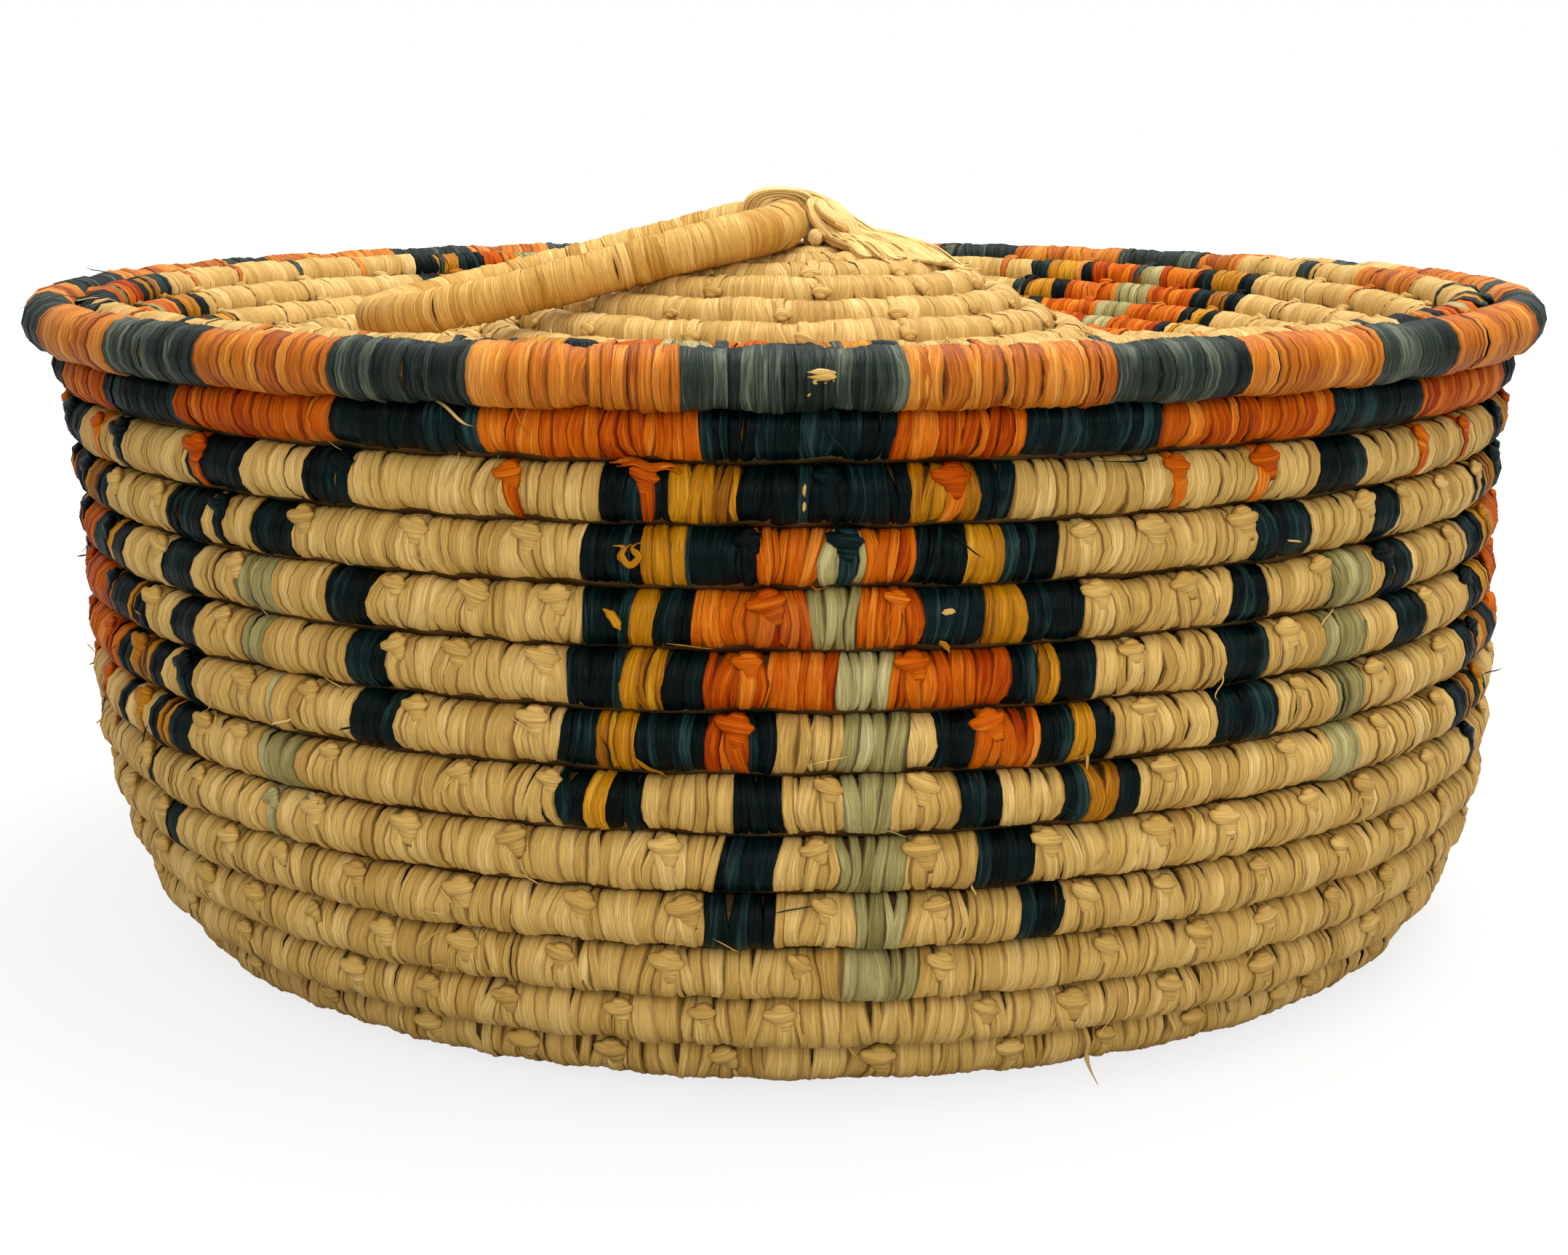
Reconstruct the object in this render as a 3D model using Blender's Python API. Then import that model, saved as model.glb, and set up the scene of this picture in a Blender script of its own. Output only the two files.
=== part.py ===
"""A round coiled basket with a lift-off lid and a swinging loop handle.

Each wall is one cord wound turn on turn: a bundle of grass wrapped in raffia, each turn stitched to
the last. The base winds from the middle of its floor up to its rim. The lid winds from a domed crown
down into a shallow valley and up again to a thicker rim, which rests on the base. The handle is a
wrapped rod, bent to a closed loop, and its cross piece lies under raffia lashings on the crown.

Metres, +Z up. The origin is on the surface that the basket stands on, below the middle of the rim.
The front of the basket is towards -Y, and the handle lies down towards -X.
"""

from collections import namedtuple
from math import copysign, cos, floor, pi, radians, sin, sqrt, tau

import bmesh
import bpy
import numpy as np
from mathutils import Vector

# The base's cord, and the free space between its turns
BASE_CORD_DIAMETER = 0.0092
BASE_TURN_GAP = 0.0007
FLOOR_TURNS = 12

# Each turn of the wall lies on the last at this angle above level, from the floor's edge to the rim
WALL_LAY_DEGREES = (23, 53, 70, 75, 82, 86, 90, 90, 90, 88, 84, 82)

# The hand-made wall leans: its rim lies this far to the left of its floor
WALL_LEAN = 0.0035

# Each turn of the lid beside the last, from the crown's middle outwards, and then its thicker rim
LID_LAY_DEGREES = (0, -4, -9, -18, -26, -26, -25, -23.5, -22, -14, 0, 4, 10, 18, 25, 30, 28)
LID_RIM_LAY_DEGREES = -4.3
LID_TURN_GAP = 0.0008
LID_RIM_DIAMETER = 0.0101
CROWN_TURNS = 9
VALLEY_END_TURNS = 13

# The lid's rim rests outside and above the base's rim, in this direction from it
SEAT_DEGREES = 60
SEAT_GAP = 0.0003

# The two ends of a cord where one length of it is joined to the next
SPLICE_GAP = 0.0004

# A turn starts at the back, runs level past the front over this share of its length, and climbs one
# level over the rest. The start is turned so far that the facets' corners lie evenly about X and Y.
TURN_START_DEGREES = 95
LEVEL_SHARE = 150 / 360

# A cord starts thin, this many turns from the middle, and is at its full thickness so much later
START_TURN = 0.35
START_CORD_SHARE = 0.4
START_GROWTH_TURNS = 0.5

# A winding ends in a tail, which thins to this share of its cord
TAIL_TIP_SHARE = 0.28

# The handle: a wrapped rod whose loop is this wide between the middles of its legs
HANDLE_ROD_DIAMETER = 0.0087
HANDLE_WIDTH = 0.058
HANDLE_GAP = 0.0004

# One leg of the loop from the middle of its cross piece to the middle of its tip, as shares of the
# loop's reach, of half its width, and of the drop from its axis to its tip
HANDLE_LEG_SHARES = (
    (0.00, 0.00, 0.00),
    (0.00, 0.35, 0.00),
    (0.25, 0.80, 0.03),
    (0.57, 1.04, 0.38),
    (0.86, 0.90, 0.83),
    (1.00, 0.34, 1.00),
)

# The raffia strands that hold the handle's cross piece down, and the knot that ends them
LASHING_COUNT = 5
LASHING_DIAMETER = 0.0016
LASHING_SPREAD = 0.0088
LASHING_GAP = 0.0003
KNOT_STRAND_DIAMETER = 0.0014
KNOT_SIZE = 0.0095
KNOT_RISE = 0.0036

# Facets: points round a turn, points round the small turns of a middle, and where those end
TURN_POINTS = 18
MIDDLE_TURN_POINTS = 9
CROWN_MIDDLE_TURNS = 2
FLOOR_MIDDLE_TURNS = 3
CORD_SIDES = 6
END_RUN_SHARE = 0.05
COUNT_ROUNDING = 0.000001
HANDLE_STEPS_PER_POINT = 4
LASHING_ARC_STEPS = 8
KNOT_POINTS = 36

# The floor's cord is cut flat underneath, this share of its diameter deep
FLAT_CUT_SHARE = 0.1
CUT_OVERRUN = 0.005

# Points closer than this are one point
WELD_DISTANCE = 0.000001

Level = namedtuple("Level", "radius height cord lay")
Station = namedtuple("Station", "x y z cord lay")


def pitch(cord_radius, gap):
    return 2 * cord_radius + gap


def laid_beside(level, lay_degrees, step, cord_radius):
    """The next level of a winding: one step from the last, in the direction in which it is laid."""
    lay = radians(lay_degrees)
    return Level(level.radius + step * cos(lay), level.height + step * sin(lay), cord_radius, lay)


def facet_reach(cord_radius, corner_angle, direction):
    """How far a cord's six-sided outline reaches from its middle in one direction."""
    side = tau / CORD_SIDES
    off_corner = (direction - corner_angle + side / 2) % side - side / 2
    return cord_radius * cos(off_corner)


def base_levels():
    """The base's turns, from the middle of the floor to the rim."""
    cord = BASE_CORD_DIAMETER / 2
    step = pitch(cord, BASE_TURN_GAP)
    underside = facet_reach(cord, 0, -pi / 2) - FLAT_CUT_SHARE * BASE_CORD_DIAMETER
    levels = [Level(step / 2, underside, cord, 0)]
    for _ in range(FLOOR_TURNS - 1):
        levels.append(laid_beside(levels[-1], 0, step, cord))
    for lay_degrees in WALL_LAY_DEGREES:
        levels.append(laid_beside(levels[-1], lay_degrees, step, cord))
    return levels


def lid_levels(base_rim):
    """The lid's turns, from the crown's middle to the rim, whose place on the base's rim is given.

    The number of turns is fixed, so the cord is as thick as the lid's radius leaves room for.
    """
    rim_cord = LID_RIM_DIAMETER / 2
    seat = radians(SEAT_DEGREES)
    rim_lay = radians(LID_RIM_LAY_DEGREES)
    reach = facet_reach(base_rim.cord, base_rim.lay, seat) + facet_reach(rim_cord, rim_lay, seat + pi)
    rim_radius = base_rim.radius + (reach + SEAT_GAP) * cos(seat)
    rim_height = base_rim.height + (reach + SEAT_GAP) * sin(seat)

    half_gap = LID_TURN_GAP / 2
    steps_across = 1 / 2 + sum(cos(radians(lay)) for lay in LID_LAY_DEGREES) + cos(rim_lay) / 2
    step = (rim_radius - (rim_cord + half_gap) * cos(rim_lay)) / steps_across
    cord = step / 2 - half_gap
    levels = [Level(step / 2, 0, cord, 0)]
    for lay_degrees in LID_LAY_DEGREES:
        levels.append(laid_beside(levels[-1], lay_degrees, step, cord))
    levels.append(laid_beside(levels[-1], LID_RIM_LAY_DEGREES, cord + rim_cord + LID_TURN_GAP, rim_cord))
    lift = rim_height - levels[-1].height
    return [level._replace(height=level.height + lift) for level in levels]


def between(levels, place):
    """A place between two levels, on the smooth curve that passes through all of them."""
    first = min(max(floor(place), 0), len(levels) - 2)
    share = place - first
    here, there = np.array(levels[first]), np.array(levels[first + 1])
    before = np.array(levels[first - 1]) if first else 2 * here - there
    after = np.array(levels[first + 2]) if first + 2 < len(levels) else 2 * there - here
    curve = (
        2 * here
        + (there - before) * share
        + (2 * before - 5 * here + 4 * there - after) * share**2
        + (3 * here - before - 3 * there + after) * share**3
    ) / 2
    straight = here + (there - here) * share
    return Level(curve[0], curve[1], straight[2], straight[3])


def place_after(turns, settling_turns):
    """The level that a winding has come to after a number of turns, each counted from the back.

    Near the middle it climbs steadily. Further out it settles into running level past the front.
    """
    turn = floor(turns)
    from_front = turns - turn - 1 / 2
    climbing = max(0, abs(from_front) - LEVEL_SHARE / 2) / (1 - LEVEL_SHARE)
    late = copysign(3 * climbing**2 - 2 * climbing**3, from_front)
    settled = min(1, turns / settling_turns)
    return turn + from_front * (1 - settled) + late * settled


def direction_after(turns):
    """The angle round the basket, where a turn starts at the back and passes the front half way."""
    return tau * turns + radians(TURN_START_DEGREES)


def station(levels, turns, settling_turns, gap):
    """The cord's middle, thickness and tilt after a number of turns."""
    last = levels[-1]
    tail_start = len(levels) - 1 + 1 / 2 + LEVEL_SHARE / 2
    if turns <= tail_start:
        at = between(levels, place_after(turns, settling_turns))
        grown = min(1, START_CORD_SHARE + (turns - START_TURN) / START_GROWTH_TURNS)
        at = at._replace(cord=at.cord * grown)
    else:
        inside = between(levels, place_after(turns - 1, settling_turns))
        apart = sqrt((last.radius - inside.radius) ** 2 + (last.height - inside.height) ** 2)
        tail = (last.cord + apart - inside.cord - gap) / 2
        inset = last.cord - tail
        at = Level(
            last.radius + inset * cos(last.lay), last.height + inset * sin(last.lay), tail, last.lay
        )
    angle = direction_after(turns)
    return Station(at.radius * cos(angle), at.radius * sin(angle), at.height, at.cord, at.lay)


def stretch(levels, start, end, settling_turns, gap, middle_turns=0):
    """The stations of one length of a winding. Their angles are the same on every turn.

    A short run at each end squares it to the next length's end.
    """
    end_run = END_RUN_SHARE / TURN_POINTS
    turns = [start]
    while turns[-1] < end:
        points = MIDDLE_TURN_POINTS if turns[-1] < middle_turns else TURN_POINTS
        turns.append((floor(turns[-1] * points + COUNT_ROUNDING) + 1) / points)
    turns = [start, start + end_run, *turns[1:-1], end - end_run, end]
    return [station(levels, turn, settling_turns, gap) for turn in turns]


def tail_end(levels, settling_turns, gap):
    """How many turns a winding makes before its tail is thin enough to be tucked in."""
    turns = len(levels) - 1 + 1 / 2 + LEVEL_SHARE / 2
    tip = levels[-1].cord * TAIL_TIP_SHARE
    while station(levels, turns + 1 / TURN_POINTS, settling_turns, gap).cord > tip:
        turns += 1 / TURN_POINTS
    return floor(turns * TURN_POINTS + COUNT_ROUNDING) / TURN_POINTS


def spliced(levels, turns):
    """Half of a splice's gap, in turns of the winding at that place."""
    return SPLICE_GAP / 2 / (tau * levels[round(turns)].radius)


def leaned(stations, levels):
    """The stations of the base, moved sideways as its wall leans."""
    rise = levels[-1].height - levels[0].height
    return [
        at._replace(x=at.x + WALL_LEAN * (levels[-1].height - at.z) / rise) for at in stations
    ]


def print_least_gap(name, stations, turn_points):
    """Measures how near the turns of one length of cord come to each other."""
    places = np.array([at[:3] for at in stations])
    cords = np.array([at.cord for at in stations])
    apart = np.linalg.norm(places[:, None] - places[None], axis=2) - cords[:, None] - cords[None]
    order = np.arange(len(stations))
    other_turn = np.abs(order[:, None] - order[None]) > turn_points / 2
    if other_turn.any():
        print(f"{name}: least gap between turns {apart[other_turn].min() * 1000:.2f} mm")


def material(name, colour, roughness):
    made = bpy.data.materials.new(name)
    made.use_nodes = True
    shader = made.node_tree.nodes["Principled BSDF"]
    shader.inputs["Base Color"].default_value = (*colour, 1)
    shader.inputs["Roughness"].default_value = roughness
    shader.inputs["Metallic"].default_value = 0
    made.diffuse_color = (*colour, 1)
    return made


def tube(name, points, depth, collection, finish, resolution=1, cyclic=False):
    """A curve object along a list of (place, radius share, tilt)."""
    curve = bpy.data.curves.new(name, "CURVE")
    curve.dimensions = "3D"
    curve.twist_mode = "Z_UP"
    curve.bevel_depth = depth
    curve.bevel_resolution = resolution
    curve.use_fill_caps = True
    spline = curve.splines.new("POLY")
    spline.points.add(len(points) - 1)
    spline.use_cyclic_u = cyclic
    for point, (place, radius_share, tilt) in zip(spline.points, points):
        point.co = (*place, 1)
        point.radius = radius_share
        point.tilt = tilt
    made = bpy.data.objects.new(name, curve)
    collection.objects.link(made)
    curve.materials.append(finish)
    return made


def coil(name, stations, collection, finish):
    """A length of wound cord, whose corners face its own turns on both sides."""
    depth = max(at.cord for at in stations)
    points = [((at.x, at.y, at.z), at.cord / depth, -at.lay) for at in stations]
    return tube(name, points, depth, collection, finish)


def as_mesh(curve_object, collection):
    """The same object as a closed mesh, which a Boolean can cut."""
    graph = bpy.context.evaluated_depsgraph_get()
    mesh = bpy.data.meshes.new_from_object(curve_object.evaluated_get(graph))
    work = bmesh.new()
    work.from_mesh(mesh)
    bmesh.ops.remove_doubles(work, verts=work.verts, dist=WELD_DISTANCE)
    work.to_mesh(mesh)
    work.free()
    name = curve_object.name
    place = curve_object.matrix_world.copy()
    bpy.data.objects.remove(curve_object)
    mesh.name = name
    made = bpy.data.objects.new(name, mesh)
    made.matrix_world = place
    collection.objects.link(made)
    return made


def box(name, low, high, collection):
    mesh = bpy.data.meshes.new(name)
    work = bmesh.new()
    bmesh.ops.create_cube(work, size=1)
    size = [top - bottom for bottom, top in zip(low, high)]
    middle = [(top + bottom) / 2 for bottom, top in zip(low, high)]
    bmesh.ops.scale(work, vec=size, verts=work.verts)
    bmesh.ops.translate(work, vec=middle, verts=work.verts)
    work.to_mesh(mesh)
    work.free()
    made = bpy.data.objects.new(name, mesh)
    collection.objects.link(made)
    return made


def cut_flat(target, collection):
    """Cuts away all of a piece that reaches below the surface that the basket stands on."""
    reach = max(target.dimensions) / 2 + abs(WALL_LEAN) + CUT_OVERRUN
    below = -BASE_CORD_DIAMETER - CUT_OVERRUN
    cutter = box("underside_cutter", (-reach, -reach, below), (reach, reach, 0), collection)
    cutter.hide_render = True
    cutter.display_type = "WIRE"
    cut = target.modifiers.new("flat_underside", "BOOLEAN")
    cut.operation = "DIFFERENCE"
    cut.object = cutter


def rounded(corners, steps):
    """A closed smooth curve inside a closed polygon, which touches the middle of each of its sides."""
    points = []
    for index, corner in enumerate(corners):
        start = (corners[index - 1] + corner) / 2
        end = (corner + corners[(index + 1) % len(corners)]) / 2
        for step in range(steps):
            share = step / steps
            first = start.lerp(corner, share)
            points.append(first.lerp(corner.lerp(end, share), share))
    return points


def handle_path(reach, drop):
    """The middle line of the handle's loop, measured from the middle of its cross piece."""
    leg = [
        Vector((-reach * along, HANDLE_WIDTH / 2 * aside, -drop * down))
        for along, aside, down in HANDLE_LEG_SHARES
    ]
    other_leg = [Vector((at.x, -at.y, at.z)) for at in reversed(leg[1:])]
    return rounded(leg + other_leg, HANDLE_STEPS_PER_POINT)


def lashing_path(aside, drop):
    """One strand: up from the crown, over the handle's cross piece and down again."""
    over = HANDLE_ROD_DIAMETER / 2 + LASHING_GAP + LASHING_DIAMETER / 2
    arc = [pi * step / LASHING_ARC_STEPS for step in range(LASHING_ARC_STEPS + 1)]
    path = [(over, aside, -drop)]
    path += [(over * cos(angle), aside, over * sin(angle)) for angle in arc]
    return path + [(-over, aside, -drop)]


def knot_path():
    """A closed strand that crosses itself three times, about its own middle."""
    widest = 3
    size = (KNOT_SIZE - KNOT_STRAND_DIAMETER) / 2 / widest
    path = []
    for index in range(KNOT_POINTS):
        angle = tau * index / KNOT_POINTS
        path.append(
            (
                size * (sin(angle) + 2 * sin(2 * angle)),
                size * (cos(angle) - 2 * cos(2 * angle)),
                -KNOT_RISE / 2 * sin(3 * angle),
            )
        )
    return path


def main():
    for old in list(bpy.data.objects):
        bpy.data.objects.remove(old)
    basket = bpy.data.collections.new("coiled_basket")
    cutters = bpy.data.collections.new("cutters")
    bpy.context.scene.collection.children.link(basket)
    bpy.context.scene.collection.children.link(cutters)

    natural = material("natural_raffia", (0.58, 0.39, 0.15), 0.55)
    pale = material("pale_raffia", (0.72, 0.53, 0.25), 0.5)
    orange = material("orange_raffia", (0.68, 0.12, 0.02), 0.5)
    black = material("black_raffia", (0.02, 0.035, 0.04), 0.45)

    base = base_levels()
    lid = lid_levels(base[-1])
    rim_turn = len(base) - 1
    lid_rim_turn = len(lid) - 1

    def base_length(name, start, end, finish, middle_turns=0):
        stations = stretch(base, start, end, FLOOR_TURNS, BASE_TURN_GAP, middle_turns)
        print_least_gap(name, stations, TURN_POINTS)
        return coil(name, leaned(stations, base), basket, finish)

    def lid_length(name, start, end, finish, middle_turns=0):
        stations = stretch(lid, start, end, CROWN_TURNS, LID_TURN_GAP, middle_turns)
        print_least_gap(name, stations, TURN_POINTS)
        return coil(name, stations, basket, finish)

    floor_splice = spliced(base, FLOOR_TURNS)
    rim_splice = spliced(base, rim_turn)
    floor_coil = base_length(
        "floor_coil", START_TURN, FLOOR_TURNS - floor_splice, natural, FLOOR_MIDDLE_TURNS
    )
    cut_flat(as_mesh(floor_coil, basket), cutters)
    base_length("wall_coil", FLOOR_TURNS + floor_splice, rim_turn - rim_splice, natural)
    base_end = tail_end(base, FLOOR_TURNS, BASE_TURN_GAP)
    base_length("base_rim_coil", rim_turn + rim_splice, base_end, orange)

    crown_splice = spliced(lid, CROWN_TURNS)
    valley_splice = spliced(lid, VALLEY_END_TURNS)
    lid_rim_splice = spliced(lid, lid_rim_turn)
    crown_end = CROWN_TURNS - crown_splice
    lid_length("lid_crown_coil", START_TURN, crown_end, natural, CROWN_MIDDLE_TURNS)
    valley_end = VALLEY_END_TURNS - valley_splice
    lid_length("lid_valley_coil", CROWN_TURNS + crown_splice, valley_end, natural)
    brim_end = lid_rim_turn - lid_rim_splice
    lid_length("lid_brim_coil", VALLEY_END_TURNS + valley_splice, brim_end, natural)
    lid_end = tail_end(lid, CROWN_TURNS, LID_TURN_GAP)
    lid_length("lid_rim_coil", lid_rim_turn + lid_rim_splice, lid_end, black)

    rod = HANDLE_ROD_DIAMETER / 2
    crown_top = lid[0].height + lid[0].cord
    axis_height = crown_top + HANDLE_GAP + rod
    lowest = sorted(lid, key=lambda level: level.height)[:2]
    valley_top = lowest[0].height + lowest[0].cord
    reach = (lowest[0].radius + lowest[1].radius) / 2
    drop = axis_height - (valley_top + HANDLE_GAP + rod)
    hinge = bpy.data.objects.new("handle_hinge", None)
    hinge.location = (0, 0, axis_height)
    basket.objects.link(hinge)
    loop = [(place, 1, 0) for place in handle_path(reach, drop)]
    handle = tube("handle_loop", loop, rod, basket, natural, resolution=2, cyclic=True)
    handle.parent = hinge

    crown_facet = lid[0].height + facet_reach(lid[0].cord, lid[0].lay, pi / 2)
    lashing_drop = axis_height - crown_facet - LASHING_GAP
    for index in range(LASHING_COUNT):
        aside = LASHING_SPREAD * (index / (LASHING_COUNT - 1) - 1 / 2)
        strand = [(place, 1, 0) for place in lashing_path(aside, lashing_drop)]
        lashing = tube(f"handle_lashing_{index + 1}", strand, LASHING_DIAMETER / 2, basket, pale)
        lashing.location = (0, 0, axis_height)

    knot_strand = [(place, 1, 0) for place in knot_path()]
    knot = tube("crown_knot", knot_strand, KNOT_STRAND_DIAMETER / 2, basket, pale, cyclic=True)
    lashing_side = rod + LASHING_GAP + LASHING_DIAMETER
    knot_height = crown_facet + LASHING_GAP + KNOT_RISE / 2 + KNOT_STRAND_DIAMETER / 2
    knot.location = (lashing_side + LASHING_GAP + KNOT_SIZE / 2, 0, knot_height)

    print(f"rim of the base: radius {base[-1].radius * 1000:.1f}, height {base[-1].height * 1000:.1f} mm")
    print(f"rim of the lid: radius {lid[-1].radius * 1000:.1f}, height {lid[-1].height * 1000:.1f} mm")
    print(f"lid cord: diameter {lid[0].cord * 2000:.2f} mm, handle axis at {axis_height * 1000:.2f} mm")
    print(f"handle reach {reach * 1000:.1f}, drop {drop * 1000:.1f} mm")


main()
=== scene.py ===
"""The looks of a coiled raffia basket with a lift-off lid and a swinging loop handle.

Every wall of the basket is a cord of grass, wrapped in raffia strands and wound turn on turn. Here
each round of a strand is a shape of its own: it is modelled once, as a ring, and laid round the
cord as often as the real one is wound. Metres, +Z up. The front is towards -Y.
"""

from collections import namedtuple
from math import copysign, cos, pi, radians, sin, tau

import bpy
import numpy as np
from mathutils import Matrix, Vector


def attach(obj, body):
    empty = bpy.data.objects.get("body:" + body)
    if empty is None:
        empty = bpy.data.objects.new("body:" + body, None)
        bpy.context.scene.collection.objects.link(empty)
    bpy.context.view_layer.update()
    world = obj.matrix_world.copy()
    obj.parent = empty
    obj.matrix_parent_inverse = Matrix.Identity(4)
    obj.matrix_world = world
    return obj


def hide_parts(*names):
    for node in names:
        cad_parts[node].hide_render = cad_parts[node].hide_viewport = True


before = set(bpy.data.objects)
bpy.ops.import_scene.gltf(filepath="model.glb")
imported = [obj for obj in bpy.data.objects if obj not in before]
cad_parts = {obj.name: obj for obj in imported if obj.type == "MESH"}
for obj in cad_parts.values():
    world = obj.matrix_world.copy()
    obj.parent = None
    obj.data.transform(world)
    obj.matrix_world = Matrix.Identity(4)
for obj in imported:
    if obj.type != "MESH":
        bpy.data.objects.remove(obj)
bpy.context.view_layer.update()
bpy.ops.object.select_all(action="DESELECT")

# The base's cord. A bundle of grass, wound from the middle of the floor outwards and then up the
# wall. Each turn runs level past the front and climbs to the next one behind.
BASE_CORD_DIAMETER = 0.0092
BASE_TURN_GAP = 0.0007
FLOOR_TURNS = 12
WALL_LAY_DEGREES = (23, 53, 70, 75, 82, 86, 90, 90, 90, 88, 84, 82)
WALL_LEAN = 0.0035
CORD_SIDES = 6
FLAT_CUT_SHARE = 0.1
TURN_START_DEGREES = 95
LEVEL_SHARE = 150 / 360
START_TURN = 0.35
START_CORD_SHARE = 0.4
START_GROWTH_TURNS = 0.5
TAIL_TIP_SHARE = 0.28
LINE_STEP = 0.0015
STEP_CLOSING = 0.6

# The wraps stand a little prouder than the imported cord, so that each turn touches the next
BASE_WRAP_SHARE = 1.05
RIM_WRAP_SHARE = 1.0
RIM_GROWTH_TURNS = 0.4
END_ROUNDING_SHARE = 0.9

Level = namedtuple("Level", "radius height cord lay")
Cord = namedtuple("Cord", "turns along place outward upward radius lay")


def laid_beside(level, lay_degrees, step, cord_radius):
    """The next level of a winding: one step from the last, in the direction in which it is laid."""
    lay = radians(lay_degrees)
    return Level(level.radius + step * cos(lay), level.height + step * sin(lay), cord_radius, lay)


def facet_reach(cord_radius, corner_angle, direction):
    """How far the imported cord's six-sided outline reaches from its middle in one direction."""
    side = tau / CORD_SIDES
    off_corner = (direction - corner_angle + side / 2) % side - side / 2
    return cord_radius * cos(off_corner)


def between(levels, places, curved=2):
    """The places between the levels of a winding, on the smooth curve through all of them.

    Radius and height follow the curve. Thickness and lay go straight from one to the next.
    """
    levels = np.array(levels)
    levels = np.vstack((2 * levels[0] - levels[1], levels, 2 * levels[-1] - levels[-2]))
    first = np.clip(np.floor(places), 0, len(levels) - 4).astype(int)
    share = (places - first)[:, None]
    before, here, there, after = (levels[first + step] for step in range(4))
    curve = (
        2 * here
        + (there - before) * share
        + (2 * before - 5 * here + 4 * there - after) * share**2
        + (3 * here - before - 3 * there + after) * share**3
    ) / 2
    straight = here + (there - here) * share
    return np.hstack((curve[:, :curved], straight[:, curved:]))


def place_after(turns, settling_turns):
    """The level that a winding has come to after each number of turns, counted from the back."""
    turn = np.floor(turns)
    from_front = turns - turn - 1 / 2
    climbing = np.maximum(0, np.abs(from_front) - LEVEL_SHARE / 2) / (1 - LEVEL_SHARE)
    late = np.copysign(3 * climbing**2 - 2 * climbing**3, from_front)
    settled = np.minimum(1, turns / settling_turns)
    return turn + from_front * (1 - settled) + late * settled


def stations(levels, turns, settling_turns, gap):
    """Radius, height, thickness and lay of the cord after each number of turns, with its tail."""
    last = levels[-1]
    tail_start = len(levels) - 1 + 1 / 2 + LEVEL_SHARE / 2
    at = between(levels, place_after(turns, settling_turns))
    at[:, 2] *= np.minimum(1, START_CORD_SHARE + (turns - START_TURN) / START_GROWTH_TURNS)
    inside = between(levels, place_after(turns - 1, settling_turns))
    apart = np.hypot(last.radius - inside[:, 0], last.height - inside[:, 1])
    tail = (last.cord + apart - inside[:, 2] - gap) / 2
    inset = last.cord - tail
    ending = np.stack(
        (
            last.radius + inset * cos(last.lay),
            last.height + inset * sin(last.lay),
            tail,
            np.full_like(tail, last.lay),
        ),
        axis=1,
    )
    return np.where((turns > tail_start)[:, None], ending, at)


def unit(vectors):
    """The same directions, each of them 1 long."""
    return vectors / np.linalg.norm(vectors, axis=1)[:, None]


def measured(place):
    """How far along a line of places each of them lies."""
    return np.concatenate(((0,), np.linalg.norm(np.diff(place, axis=0), axis=1).cumsum()))


def cord_on(place, radius, lay, turns=None):
    """A cord along a line of places, with its two sideways directions at each of them."""
    ahead = unit(np.gradient(place, axis=0))
    outward = unit(np.cross(ahead, (0, 0, 1)))
    along = measured(place)
    turns = along if turns is None else turns
    return Cord(turns, along, place, outward, np.cross(outward, ahead), radius, lay)


def cord_through(levels, settling_turns, gap, lean=0.0):
    """The whole cord of one winding, in short steps, from its thin start to its thin tail."""
    longest = len(levels)
    count = int(tau * levels[-1].radius * longest / LINE_STEP)
    shares = np.linspace(0, 1, count) ** STEP_CLOSING
    turns = START_TURN + (longest - START_TURN) * shares
    at = stations(levels, turns, settling_turns, gap)
    thin = (turns > longest - 1 / 2) & (at[:, 2] < levels[-1].cord * TAIL_TIP_SHARE)
    if thin.any():
        turns, at = turns[: thin.argmax()], at[: thin.argmax()]
    angle = tau * turns + radians(TURN_START_DEGREES)
    rise = levels[-1].height - levels[0].height
    leaning = lean * (levels[-1].height - at[:, 1]) / rise
    place = np.stack((at[:, 0] * np.cos(angle) + leaning, at[:, 0] * np.sin(angle), at[:, 1]), 1)
    return cord_on(place, at[:, 2], at[:, 3], turns)


def base_winding():
    """The levels of the base, from the middle of the floor to the rim, and their cord."""
    cord = BASE_CORD_DIAMETER / 2
    step = BASE_CORD_DIAMETER + BASE_TURN_GAP
    underside = facet_reach(cord, 0, -pi / 2) - FLAT_CUT_SHARE * BASE_CORD_DIAMETER
    levels = [Level(step / 2, underside, cord, 0)]
    for lay_degrees in (0,) * (FLOOR_TURNS - 1) + WALL_LAY_DEGREES:
        levels.append(laid_beside(levels[-1], lay_degrees, step, cord))
    return levels, cord_through(levels, FLOOR_TURNS, BASE_TURN_GAP, WALL_LEAN)


def swollen(cord, share_by_turn):
    """The cord as thick as its wraps make it, with both of its ends rounded off."""
    share = np.interp(cord.turns, *zip(*share_by_turn))
    from_end = np.minimum(cord.along, cord.along[-1] - cord.along)
    rounding = np.clip(from_end / (cord.radius * END_ROUNDING_SHARE), 0, 1)
    ends = np.sqrt(np.maximum(1 - (1 - rounding) ** 2, 0.0004))
    return cord._replace(radius=cord.radius * share * ends)


base_levels, base_cord = base_winding()
RIM_TURN = len(base_levels) - 1
base_cord = swollen(
    base_cord, ((RIM_TURN - RIM_GROWTH_TURNS, BASE_WRAP_SHARE), (RIM_TURN, RIM_WRAP_SHARE))
)

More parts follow.
